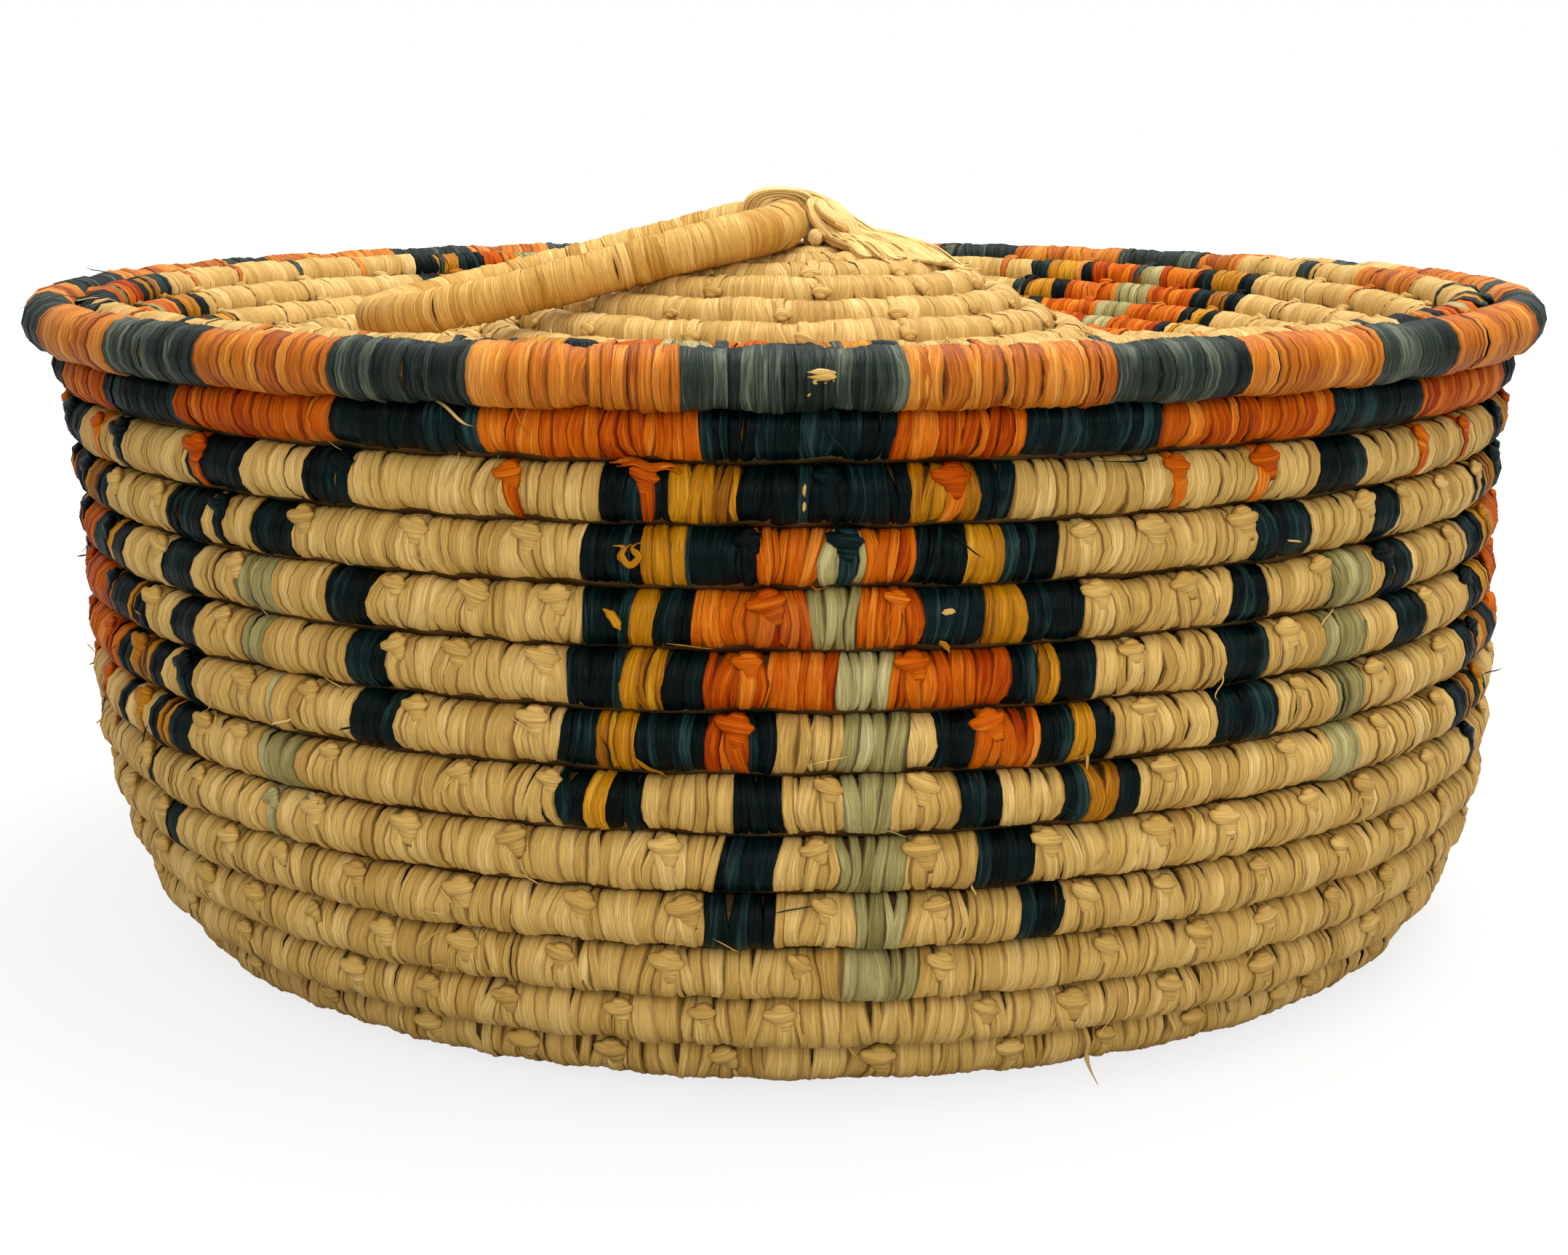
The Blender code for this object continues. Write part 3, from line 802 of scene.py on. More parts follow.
# The wall of the base. Eleven more turns of the same cord, laid on each other, with the stepped
# pattern worked into the upper ones.
coil("wall", ("wall_coil",), base, (FLOOR_TURNS, RIM_TURN), folded_form)

# The top turn of the base, wrapped in orange and black by turns, and its tail behind.
coil("base_rim", ("base_rim_coil",), base, (RIM_TURN, base_cord.turns[-1]), folded_form)

# The knots of the binding stitches, between one turn and the next, in the colour of the turn that
# they hold. Each is two folds of the strand, drawn tight across each other to a half moon.
KNOT_WIDTH = 0.0056
KNOT_HEIGHT = 0.0034
KNOT_DEPTH = 0.0012
KNOT_LEAN = 0.46
KNOT_OUT_SHARE = 0.72
KNOT_DOWN_SHARE = 0.24
FOLD_SIDES = 8
FOLD_RINGS = 5
BINDING_WIDTH = 0.0027
BINDING_LIFT = 0.00034
BINDING_WANDER = 0.0004
BINDING_SLANT_SPREAD = 0.12
BINDING_BOW_SPREAD = 0.0003
BINDING_TIP_SPREAD = 0.008
BINDING_OUTER_NECK = (-0.1, 0.3)
BINDING_INNER_NECK = (0.2, 0.6)


def pick(mesh, wanted):
    """Selects the points of a mesh that meet a condition, and nothing else."""
    for part in (mesh.polygons, mesh.edges):
        part.foreach_set("select", [False] * len(part))
    mesh.vertices.foreach_set("select", [bool(wanted(vertex.co)) for vertex in mesh.vertices])


def modelled_fold(length, hanging, aside, turned, out):
    """One fold of a knot, in shares of its size: a half moon, flat above and closed all round."""
    bpy.ops.mesh.primitive_uv_sphere_add(
        segments=FOLD_SIDES, ring_count=FOLD_RINGS, radius=0.5, location=(0, 0, 0)
    )
    fold = bpy.context.object
    bpy.ops.object.mode_set(mode="EDIT")
    bpy.ops.mesh.select_all(action="SELECT")
    bpy.ops.transform.rotate(value=pi / 2, orient_axis="Y", center_override=(0, 0, 0))
    bpy.ops.transform.resize(value=(length, 2 * hanging, 1))
    bpy.ops.object.mode_set(mode="OBJECT")
    pick(fold.data, lambda point: point.y > 0.01)
    bpy.ops.object.mode_set(mode="EDIT")
    bpy.ops.transform.resize(value=(1, 0.35, 0.8), center_override=(0, 0, 0))
    bpy.ops.mesh.select_all(action="SELECT")
    bpy.ops.transform.rotate(value=turned, orient_axis="Z", center_override=(0, 0, 0))
    bpy.ops.transform.translate(value=(aside, 0, out))
    bpy.ops.object.mode_set(mode="OBJECT")
    return fold


def knot_form():
    """A whole knot, a unit wide and high: one fold crossed by another, leaning out."""
    folds = [
        modelled_fold(1.0, 0.50, 0.0, 0.12, 0.10),
        modelled_fold(0.64, 1.15, 0.05, -0.10, -0.06),
    ]
    bpy.ops.object.select_all(action="DESELECT")
    for fold in folds:
        fold.select_set(True)
    bpy.context.view_layer.objects.active = folds[0]
    bpy.ops.object.join()
    joined = bpy.context.object
    mesh = joined.data
    points = np.array([vertex.co for vertex in mesh.vertices])
    # Painted shade: the deeper a point of the knot lies towards the cord, the more groove colour it
    # gets.
    edge = np.clip(0.75 - 1.2 * points[:, 2], 0, 1)
    points[:, 2] -= KNOT_LEAN * points[:, 1]
    corners = np.concatenate([np.array(face.vertices) for face in mesh.polygons])
    sizes = np.array([len(face.vertices) for face in mesh.polygons])
    bpy.data.objects.remove(joined)
    bpy.data.meshes.remove(mesh)
    return points, corners, sizes, edge


knot_shape = knot_form()


def knots(name, cord, stitch, faces, finish, body, press_down=None):
    """The knots of some stitches on one face of a winding, or on both."""
    points, corners, sizes, edge = knot_shape
    above = along_cord(cord, stitch.upper)[0]
    below, _, _, lower_radius, _ = along_cord(cord, stitch.lower)
    ahead = unit(along_cord(cord, stitch.upper + LINE_STEP)[0] - above)
    down = below - above
    down = unit(down - ahead * (down * ahead).sum(axis=1)[:, None])
    out = np.cross(down, ahead)
    level, tilted = np.cos(stitch.slant)[:, None], np.sin(stitch.slant)[:, None]
    meshes = []
    for face in faces:
        middle = (above + below) / 2 + out * face * (KNOT_OUT_SHARE * lower_radius)[:, None]
        middle += down * (KNOT_DOWN_SHARE * lower_radius)[:, None]
        across = ahead * face
        turned = across * level + down * tilted
        hanging = down * level - across * tilted
        shape = points * (KNOT_WIDTH, KNOT_HEIGHT, KNOT_DEPTH * 2) * stitch.size[:, None, None]
        spread = middle[:, None] + turned[:, None] * shape[..., :1]
        spread = spread - hanging[:, None] * shape[..., 1:2]
        meshes.append(spread + (out * face)[:, None] * shape[..., 2:])
    placed = np.concatenate(meshes)
    number, length = np.arange(len(placed)), len(points)
    flat = points[corners]
    strand = np.stack((flat[:, 1] * KNOT_HEIGHT, flat[:, 0] * KNOT_WIDTH), -1)
    strand = (strand[None] + (number * 0.013)[:, None, None]).reshape(-1, 2)
    tone = number * 0.618 % 1 * 0.55 + 0.15
    mesh_of(
        name, pressed(placed.reshape(-1, 3), press_down),
        (corners[None] + (number * length)[:, None]).ravel(), np.tile(sizes, len(placed)),
        strand, np.tile(edge, len(placed)), np.repeat(tone, length), finish, body,
    )


def bind_turns(name, winding, turns, form, faces, rng, press_down=None):
    """The stitches between two turns: a strand round the turn before each, and a knot above it."""
    cord, stitch, _, colours, body = winding
    letters = colours(np.interp(stitch.upper, cord.along, cord.turns))
    which = within(cord, stitch.upper, *turns)
    count = len(letters)
    binding = Round(
        stitch.lower + rng.normal(0, BINDING_WANDER, count),
        BINDING_WIDTH * stitch.size,
        rng.normal(0, BINDING_SLANT_SPREAD, count),
        rng.normal(0, BINDING_BOW_SPREAD, count),
        rng.normal(0, BINDING_TIP_SPREAD, count),
        np.full(count, BINDING_LIFT),
        rng.uniform(*BINDING_OUTER_NECK, count),
        rng.uniform(*BINDING_INNER_NECK, count),
        rng.uniform(0, tau, count),
        rng.uniform(0.2, 1, count),
        letters,
    )
    for letter, finish in finishes.items():
        same = np.flatnonzero(which & (letters == letter))
        if not len(same):
            continue
        dye = finish.material.name
        rounds = chosen(binding, same)
        wound(f"{name}_binding_{dye}", cord, rounds, form, finish, body, press_down=press_down)
        knots(f"{name}_knots_{dye}", cord, chosen(stitch, same), faces, finish, body, press_down)


wall_turns = (FLOOR_TURNS, base_cord.turns[-1])
bind_turns("floor", base, floor_turns, plain_form, (-1,), base_rng, PRESSED_HEIGHT)
bind_turns("wall", base, wall_turns, folded_form, (1, -1), base_rng, PRESSED_HEIGHT)

# The lid's cord. A little thinner than the base's, wound from the crown down into a shallow valley
# and up again to the rim, which is thicker and rests outside and on top of the base's rim.
LID_LAY_DEGREES = (0, -4, -9, -18, -26, -26, -25, -23.5, -22, -14, 0, 4, 10, 18, 25, 30, 28)
LID_RIM_LAY_DEGREES = -4.3
LID_TURN_GAP = 0.0008
LID_RIM_DIAMETER = 0.0101
CROWN_TURNS = 9
SEAT_DEGREES = 60
SEAT_GAP = 0.0003
LID_WRAP_SHARE = 1.09
LID_RIM_WRAP_SHARE = 0.975
LID_STITCH_SHARE = 0.68
LID_NECK_SHARE = 0.16


def lid_winding(base_rim):
    """The levels of the lid, from the crown's middle to the rim, and their cord."""
    rim_cord = LID_RIM_DIAMETER / 2
    seat = radians(SEAT_DEGREES)
    rim_lay = radians(LID_RIM_LAY_DEGREES)
    reach = facet_reach(base_rim.cord, base_rim.lay, seat)
    reach += facet_reach(rim_cord, rim_lay, seat + pi)
    rim_radius = base_rim.radius + (reach + SEAT_GAP) * cos(seat)
    rim_height = base_rim.height + (reach + SEAT_GAP) * sin(seat)
    half_gap = LID_TURN_GAP / 2
    steps_across = 1 / 2 + sum(cos(radians(lay)) for lay in LID_LAY_DEGREES) + cos(rim_lay) / 2
    step = (rim_radius - (rim_cord + half_gap) * cos(rim_lay)) / steps_across
    cord = step / 2 - half_gap
    levels = [Level(step / 2, 0, cord, 0)]
    for lay_degrees in LID_LAY_DEGREES:
        levels.append(laid_beside(levels[-1], lay_degrees, step, cord))
    rim_step = cord + rim_cord + LID_TURN_GAP
    levels.append(laid_beside(levels[-1], LID_RIM_LAY_DEGREES, rim_step, rim_cord))
    lift = rim_height - levels[-1].height
    levels = [level._replace(height=level.height + lift) for level in levels]
    return levels, cord_through(levels, CROWN_TURNS, LID_TURN_GAP)


lid_levels, lid_cord = lid_winding(base_levels[-1])
LID_RIM_TURN = len(lid_levels) - 1
lid_cord = swollen(
    lid_cord,
    ((LID_RIM_TURN - RIM_GROWTH_TURNS, LID_WRAP_SHARE), (LID_RIM_TURN, LID_RIM_WRAP_SHARE)),
)
lid_rng = np.random.default_rng(23)
lid_stitches = stitched(lid_cord, lid_rng)
lid_stitches = lid_stitches._replace(size=lid_stitches.size * LID_STITCH_SHARE)
lid_cord = drawn_in(hand_laid(lid_cord, lid_rng), lid_stitches)

# The lid's pattern. A motif lies on the brim, five times round, between the rim and the valley. Its
# runs are read outwards from its middle, to both sides. The rim is orange and black by turns, also
# at the back, where the turn before it lies outermost. One wrap low on the crown is green.
# The rim's f and b runs take the orange and black with paler shades, a painted light on its top.
LID_RIM_RUNS = (
    "f-163 b-155 f-146 b-137.5 f-122 b-116 f-97 b-86 f-77 b-63.5 f-50 b-39 f-28.5 b-18 f-6 b7 f20"
    " b28.5 f40 b49 f66 b79 f86 b89 f108 n115.5 b118 n126 f132 b142 f155 b163 f190"
)
RIM_TAIL_DEGREES = 96
LID_MOTIFS_DEGREES = (-151, -84, -6.5, 64, 136)
LID_MOTIF_RUNS = {
    17: "g1.7 o5.8 k8.3 y11.4 k14 n180",
    16: "g1.8 o6.8 k9.5 y12.8 k15.5 n180",
    15: "g2.2 o9 k11.5 y14.5 k16.5 n180",
    14: "g2.2 o10.5 k13 y15 k17 n180",
    13: "g2.6 o11 k13 n180",
    12: "g2.8 o9 n180",
    11: "g3 n180",
    10: "g3 n180",
}
GREEN_PATCH_TURN = 8
GREEN_PATCH_DEGREES = (49, 62)


def lid_colours(turns):
    degrees = degrees_from_front(turns)
    colours = np.full(len(turns), NATURAL)
    turn = np.minimum(np.floor(turns), LID_RIM_TURN)
    for number, runs in LID_MOTIF_RUNS.items():
        which = turn == number
        colours[which] = run_colours(runs, beside_motif(degrees[which], LID_MOTIFS_DEGREES))
    rim = (turn == LID_RIM_TURN) | ((turn == LID_RIM_TURN - 1) & (degrees > RIM_TAIL_DEGREES))
    colours[rim] = run_colours(LID_RIM_RUNS, degrees[rim])
    low, high = GREEN_PATCH_DEGREES
    colours[(turn == GREEN_PATCH_TURN) & (degrees > low) & (degrees < high)] = GREEN
    colours[colours == NATURAL] = LID_NATURAL
    return colours


lid_rounds = wrapped(lid_cord, WRAP_WIDTH, lid_rng, lid_colours, LID_NECK_SHARE)
lid = Winding(lid_cord, lid_stitches, lid_rounds, lid_colours, "lid")

# The crown of the lid: its first nine turns, a low dome.
coil("crown", ("lid_crown_coil",), lid, (START_TURN, CROWN_TURNS), plain_form)

# The valley round the crown, and the brim that slopes up from it to the rim.
coil("brim", ("lid_valley_coil", "lid_brim_coil"), lid, (CROWN_TURNS, LID_RIM_TURN), plain_form)

# The rim of the lid, the thickest turn, with orange and black wraps by turns.
coil("lid_rim", ("lid_rim_coil",), lid, (LID_RIM_TURN, lid_cord.turns[-1]), folded_form)

# The lid's binding stitches, which show on top and underneath.
bind_turns("lid", lid, (START_TURN, lid_cord.turns[-1]), folded_form, (-1, 1), lid_rng)

# The handle. A rod of grass bent to a closed loop and wrapped like the cords.
HANDLE_ROD_DIAMETER = 0.0087
HANDLE_WIDTH = 0.058
HANDLE_GAP = 0.0004
HANDLE_LEG_SHARES = (
    (0.00, 0.00, 0.00),
    (0.00, 0.86, 0.00),
    (0.22, 1.06, 0.17),
    (0.60, 1.08, 0.54),
    (0.86, 0.84, 0.74),
    (0.97, 0.30, 0.82),
)
HANDLE_STEPS = 60
HANDLE_WRAP_WIDTH = 0.0019
HANDLE_NECK_SHARE = 0.063
HANDLE_NATURAL = "h"


def rounded(corners, steps):
    """A closed smooth curve inside a closed polygon, which touches the middles of its sides."""
    points = []
    for index, corner in enumerate(corners):
        start = (corners[index - 1] + corner) / 2
        end = (corner + corners[(index + 1) % len(corners)]) / 2
        for step in range(steps):
            share = step / steps
            first = start.lerp(corner, share)
            points.append(first.lerp(corner.lerp(end, share), share))
    return points


rod = HANDLE_ROD_DIAMETER / 2
crown_top = lid_levels[0].height + lid_levels[0].cord
axis_height = crown_top + HANDLE_GAP + rod
lowest = sorted(lid_levels, key=lambda level: level.height)[:2]
handle_reach = (lowest[0].radius + lowest[1].radius) / 2
handle_drop = axis_height - (lowest[0].height + lowest[0].cord + HANDLE_GAP + rod)
handle_leg = [
    Vector((-handle_reach * along, HANDLE_WIDTH / 2 * aside, -handle_drop * down))
    for along, aside, down in HANDLE_LEG_SHARES
]
other_leg = [Vector((at.x, -at.y, at.z)) for at in reversed(handle_leg[1:])]
loop = rounded(handle_leg + other_leg, HANDLE_STEPS)
handle_points = np.array([at + Vector((0, 0, axis_height)) for at in loop + loop[:1]])
no_lay = np.zeros(len(handle_points))
handle_cord = cord_on(handle_points, no_lay + rod, no_lay)
handle_rng = np.random.default_rng(5)
# The handle's shades are darker and more golden than the wall's: partly the raffia's own colour,
# partly painted shade for its shadowed underside.
finishes[HANDLE_NATURAL] = raffia(
    "handle_strand", "natural_raffia",
    ((170, 120, 44), (200, 153, 73), (212, 168, 90), (232, 194, 122)),
    (146, 98, 34), 0.44, line=SOFT_EDGE_SHADE,
)


def handle_colours(turns):
    return np.full(len(turns), HANDLE_NATURAL)


handle_rounds = wrapped(
    handle_cord, HANDLE_WRAP_WIDTH, handle_rng, handle_colours, HANDLE_NECK_SHARE
)
handle = Winding(handle_cord, None, handle_rounds, handle_colours, "handle")
coil("handle", ("handle_loop",), handle, (0, handle_cord.turns[-1]), folded_form)

# The handle's corners. A second layer of broader rounds, where the loop turns towards its legs.
CORNER_LIFT = 0.00030
CORNER_WIDTH = 0.0030
CORNER_REACH = (0.0081, 0.0165)
corner_rounds = wrapped(
    handle_cord, CORNER_WIDTH, handle_rng, handle_colours, HANDLE_NECK_SHARE
)
corner_rounds = corner_rounds._replace(lift=corner_rounds.lift + CORNER_LIFT)
corner_place = along_cord(handle_cord, corner_rounds.at)[0]
at_corner = corner_place[:, 0] > -CORNER_REACH[1]
at_corner &= np.abs(corner_place[:, 1]) > CORNER_REACH[0]
lay_wraps("handle_corner", handle._replace(rounds=corner_rounds), at_corner, folded_form)

# The lashings. Strips of paler raffia, laid side by side over the handle's cross piece and down
# into the crown on both sides, so that the handle turns under them.
LASHING_COUNT = 5
LASHING_SPREAD = 0.0088
LASHING_GAP = 0.00055
LASHING_HUMP_REACH = 0.0018
LASHING_HUMP_OFF = 0.0008
LASHING_WANDER = 0.0009
LASHING_FLARE = 0.22
LASHING_FOOT_GAP = 0.0003
LASHING_ARC_STEPS = 6
LASHING_LEGS = {-2: 1.0, -1: 0.5, 7: 0.5, 8: 1.0}
LASHING_STRIP_WIDTHS = (0.7, 1.25)
LASHING_TONES = (0.1, 0.9)
LASHING_TAPER = 8
STRIP_OVERLAP = 0.42
STRIPS_PER_LASHING = 5
STRIP_WIDTH = 0.0030
STRIP_THICKNESS = 0.0007
STRIP_STEPS = 4
STRIP_SECTION = (
    (1.0, 0.0), (0.45, 1.0), (-0.1, 0.55), (-0.55, 0.95), (-1.0, 0.0), (-0.4, -0.9), (0.4, -0.9)
)
STRIP_END_SHARE = 0.12
STRIP_MAP_SHIFT = 0.0071
Strip = namedtuple("Strip", "path facing width thickness tone taper")
pale = raffia(
    "pale_strand", "pale_raffia",
    ((196, 154, 82), (222, 184, 110), (232, 196, 124), (246, 216, 152)),
    (132, 92, 34), 0.44,
)


def laid_strips(name, strips, finish, body):
    """Flat strips of raffia, each along its own path, creased lengthwise and closed at its ends."""
    section = np.array(STRIP_SECTION)
    sides = len(section)
    turn = np.arange(sides)
    beside = (turn + 1) % sides
    points, corners, sizes, strand, tone = [], [], [], [], []
    total = 0
    for index, strip in enumerate(strips):
        steps = (len(strip.path) - 1) * STRIP_STEPS + 1
        facings = np.broadcast_to(np.array(strip.facing), (len(strip.path), 3))
        levels = np.hstack((np.array(strip.path), facings))
        both = between(levels, np.linspace(0, len(strip.path) - 1, steps) + 1 - 1e-9, curved=6)
        place, facing = both[:, :3], both[:, 3:]
        ahead = unit(np.gradient(place, axis=0))
        facing = unit(facing - ahead * (facing * ahead).sum(axis=1)[:, None])
        across = np.cross(ahead, facing)
        share = np.linspace(0, 1, steps)
        narrowing = np.minimum(share, 1 - share) * strip.taper
        narrowing = np.clip(narrowing, STRIP_END_SHARE, 1)[:, None, None]
        wide, thick = strip.width / 2, strip.thickness / 2
        ring = across[:, None] * section[None, :, :1] * wide * narrowing
        ring = ring + facing[:, None] * section[None, :, 1:] * thick * narrowing**0.5
        points.append((place[:, None] + ring).reshape(-1, 3))
        here = total + np.arange(steps - 1)[:, None] * sides
        there = here + sides
        quads = np.stack((here + turn, here + beside, there + beside, there + turn), -1)
        loops = np.concatenate((quads.ravel(), (total + turn)[::-1], there[-1] + turn))
        corners.append(loops)
        sizes.append(np.concatenate((np.full((steps - 1) * sides, 4), (sides, sides))))
        local = loops - total
        across_map = section[local % sides, 0] * wide + index * STRIP_MAP_SHIFT
        strand.append(np.stack((across_map, measured(place)[local // sides]), -1))
        tone.append(np.full(steps * sides, strip.tone))
        total += steps * sides
    points, corners, sizes, strand, tone = (
        np.concatenate(part) for part in (points, corners, sizes, strand, tone)
    )
    none = np.zeros(len(tone))
    return mesh_of(name, points, corners, sizes, strand, none, tone, finish, body)


def crown_height(distance):
    """The top of the lid's surface at a distance from its middle."""
    tops = [(level.radius, level.height + level.cord) for level in lid_levels]
    return float(np.interp(distance, *zip(*tops)))


lashing_rng = np.random.default_rng(31)
for index in range(LASHING_COUNT):
    aside = LASHING_SPREAD * (index / (LASHING_COUNT - 1) - 1 / 2)
    strips = []
    for layer in range(STRIPS_PER_LASHING):
        start_aside, end_aside = aside + lashing_rng.normal(0, LASHING_WANDER, 2)
        over = rod + LASHING_GAP + STRIP_THICKNESS * (0.5 + STRIP_OVERLAP * layer)
        side = over + LASHING_HUMP_REACH * layer / STRIPS_PER_LASHING
        path, facing = [], []
        for step in range(-2, LASHING_ARC_STEPS + 3):
            angle = pi * (1 - min(max(step, 0), LASHING_ARC_STEPS) / LASHING_ARC_STEPS)
            low = LASHING_LEGS.get(step, 0)
            x = side * copysign(abs(cos(angle)) ** 0.8, cos(angle)) * (1 + LASHING_FLARE * low**2)
            y = start_aside + (end_aside - start_aside) * ((step + 2) / 10)
            z = axis_height + over * sin(angle) ** 0.75
            z -= low * (axis_height - crown_top - LASHING_FOOT_GAP)
            path.append((x - LASHING_HUMP_OFF, y, z))
            facing.append((cos(angle), 0, sin(angle)))
        width = STRIP_WIDTH * lashing_rng.uniform(*LASHING_STRIP_WIDTHS)
        tone = lashing_rng.uniform(*LASHING_TONES)
        strips.append(Strip(path, facing, width, STRIP_THICKNESS, tone, LASHING_TAPER))
    lashing = laid_strips(f"lashing_strips_{index + 1}", strips, pale, "lid")
    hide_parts(f"handle_lashing_{index + 1}")

# The knot. The lashing's last strips run down beside the handle in a loose knot: a neck, a tight
# loop below it, a bow folded back on itself, a tucked end and a broad ribbon. Each point of a
# strand: x, y and the rise on the crown, in millimetres.
KNOT_STRANDS = {
    "neck": (
        (4.4, -5.0, 10.7), (4.8, -6.5, 9.3), (5.3, -8.0, 7.3), (5.9, -9.0, 5.4),
        (7.4, -9.5, 3.6), (9.6, -9.5, 1.8), (10.8, -9.0, 0.8),
    ),
    "loop": (
        (8.4, -7.5, 4.1), (6.8, -9.8, 2.9), (5.7, -10.5, 1.9), (5.3, -9.9, 1.2),
        (6.2, -8.9, 2.2), (7.8, -8.0, 3.4),
    ),
    "bow": (
        (5.0, -4.0, 10.6), (6.3, -6.5, 9.3), (7.6, -8.5, 7.1), (9.6, -9.5, 5.7),
        (11.9, -9.5, 4.5), (12.8, -8.8, 3.1), (11.1, -8.3, 2.2), (8.9, -8.0, 2.9),
        (7.5, -7.5, 4.1),
    ),
    "tuck": (
        (3.4, -3.2, 10.4), (4.2, -4.6, 8.2), (4.4, -5.6, 5.6), (4.5, -6.2, 3.2),
        (4.8, -6.5, 0.9),
    ),
    "ribbon": (
        (5.9, -3.5, 10.8), (8.2, -5.5, 9.0), (10.5, -7.5, 7.0), (12.5, -9.0, 5.1),
        (13.8, -10.0, 2.7), (14.5, -10.5, 0.8),
    ),
}
KNOT_WIDTHS = {"neck": 0.0024, "loop": 0.0029, "bow": 0.0030, "tuck": 0.0026, "ribbon": 0.0028}
KNOT_THICKNESS = 0.0013
KNOT_TAPER = 16
KNOT_FACING = Vector((0.3, -0.8, 0.5)).normalized()
knot_strips = []
for index, (strand, route) in enumerate(KNOT_STRANDS.items()):
    for ply, aside in enumerate((-0.2, 0.2)):
        shift = Vector((0.3, 0.1, aside)) * KNOT_THICKNESS
        path = [
            tuple(Vector((x / 1000, y / 1000, crown_top + rise / 1000)) + shift)
            for x, y, rise in route
        ]
        tone = 0.35 + 0.4 * ply + 0.05 * index
        width = KNOT_WIDTHS[strand]
        knot_strips.append(
            Strip(path, tuple(KNOT_FACING), width, KNOT_THICKNESS, tone, KNOT_TAPER)
        )
knot_piece = laid_strips("crown_knot_strips", knot_strips, pale, "lid")
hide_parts("crown_knot")

# The fan. Loose ends of the lashing, split fine, run over the handle's cross piece and spread out
# down the crown's side away from the handle, where they were worked in. Broad strips lie under it.
FAN_PROFILE = (
    (-0.0030, 0.0104), (0.0030, 0.0106), (0.0071, 0.0097), (0.0100, 0.0080), (0.0136, 0.0060),
    (0.0165, 0.0044), (0.0190, 0.0032), (0.0225, 0.0030), (0.0263, 0.0024), (0.0314, 0.0022),
    (0.0360, 0.0006),
)
FAN_BED_START = 2
FAN_SPREAD_DEGREES = (-60, 36)
FAN_FRONT_SHARE = 0.52
FAN_START_WIDTH = 0.0108
FAN_REACHES = (0.86, 1.0)
FAN_WANDER = 0.0003
FAN_FRONT_DROP = 0.12
FAN_TONES = (0.2, 1.0)
FAN_TAPER = 7
Layer = namedtuple("Layer", "rise count widths thickness")
FAN_LAYERS = (
    Layer(0.30, 14, (0.0034, 0.0044), 0.0018),
    Layer(0.62, 16, (0.0030, 0.0040), 0.0016),
    Layer(0.86, 22, (0.0018, 0.0032), 0.0009),
    Layer(1.00, 60, (0.0006, 0.0018), 0.0004),
)
fan_rng = np.random.default_rng(17)
fan = []
bed_start = FAN_PROFILE[FAN_BED_START][0]
for layer in FAN_LAYERS:
    profile = FAN_PROFILE if layer.rise == 1 else FAN_PROFILE[FAN_BED_START:]
    for index in range(layer.count):
        share = (index + fan_rng.uniform(0.2, 0.8)) / layer.count
        front, back = FAN_SPREAD_DEGREES
        heading = radians(front + share * (back - front))
        forward = max(0, -heading / radians(-front))
        start = (share - 0.5) * FAN_START_WIDTH
        reach = (1 - (1 - FAN_FRONT_SHARE) * forward**1.5) * fan_rng.uniform(*FAN_REACHES)
        over = fan_rng.uniform(-FAN_WANDER, FAN_WANDER)
        route = []
        for out, rise in profile:
            after = max(0, out - bed_start)
            x = min(out, bed_start) + after * reach * cos(heading)
            y = start + after * reach * sin(heading)
            rise = rise * layer.rise * (1 - FAN_FRONT_DROP * forward) + over
            route.append((x, y, crown_height(np.hypot(x, y)) + rise))
        facing = Vector((0.35, sin(heading) * 0.5, 1)).normalized()
        width, tone = fan_rng.uniform(*layer.widths), fan_rng.uniform(*FAN_TONES)
        fan.append(Strip(route, tuple(facing), width, layer.thickness, tone, FAN_TAPER))
laid_strips("lashing_fan", fan, pale, "lid")

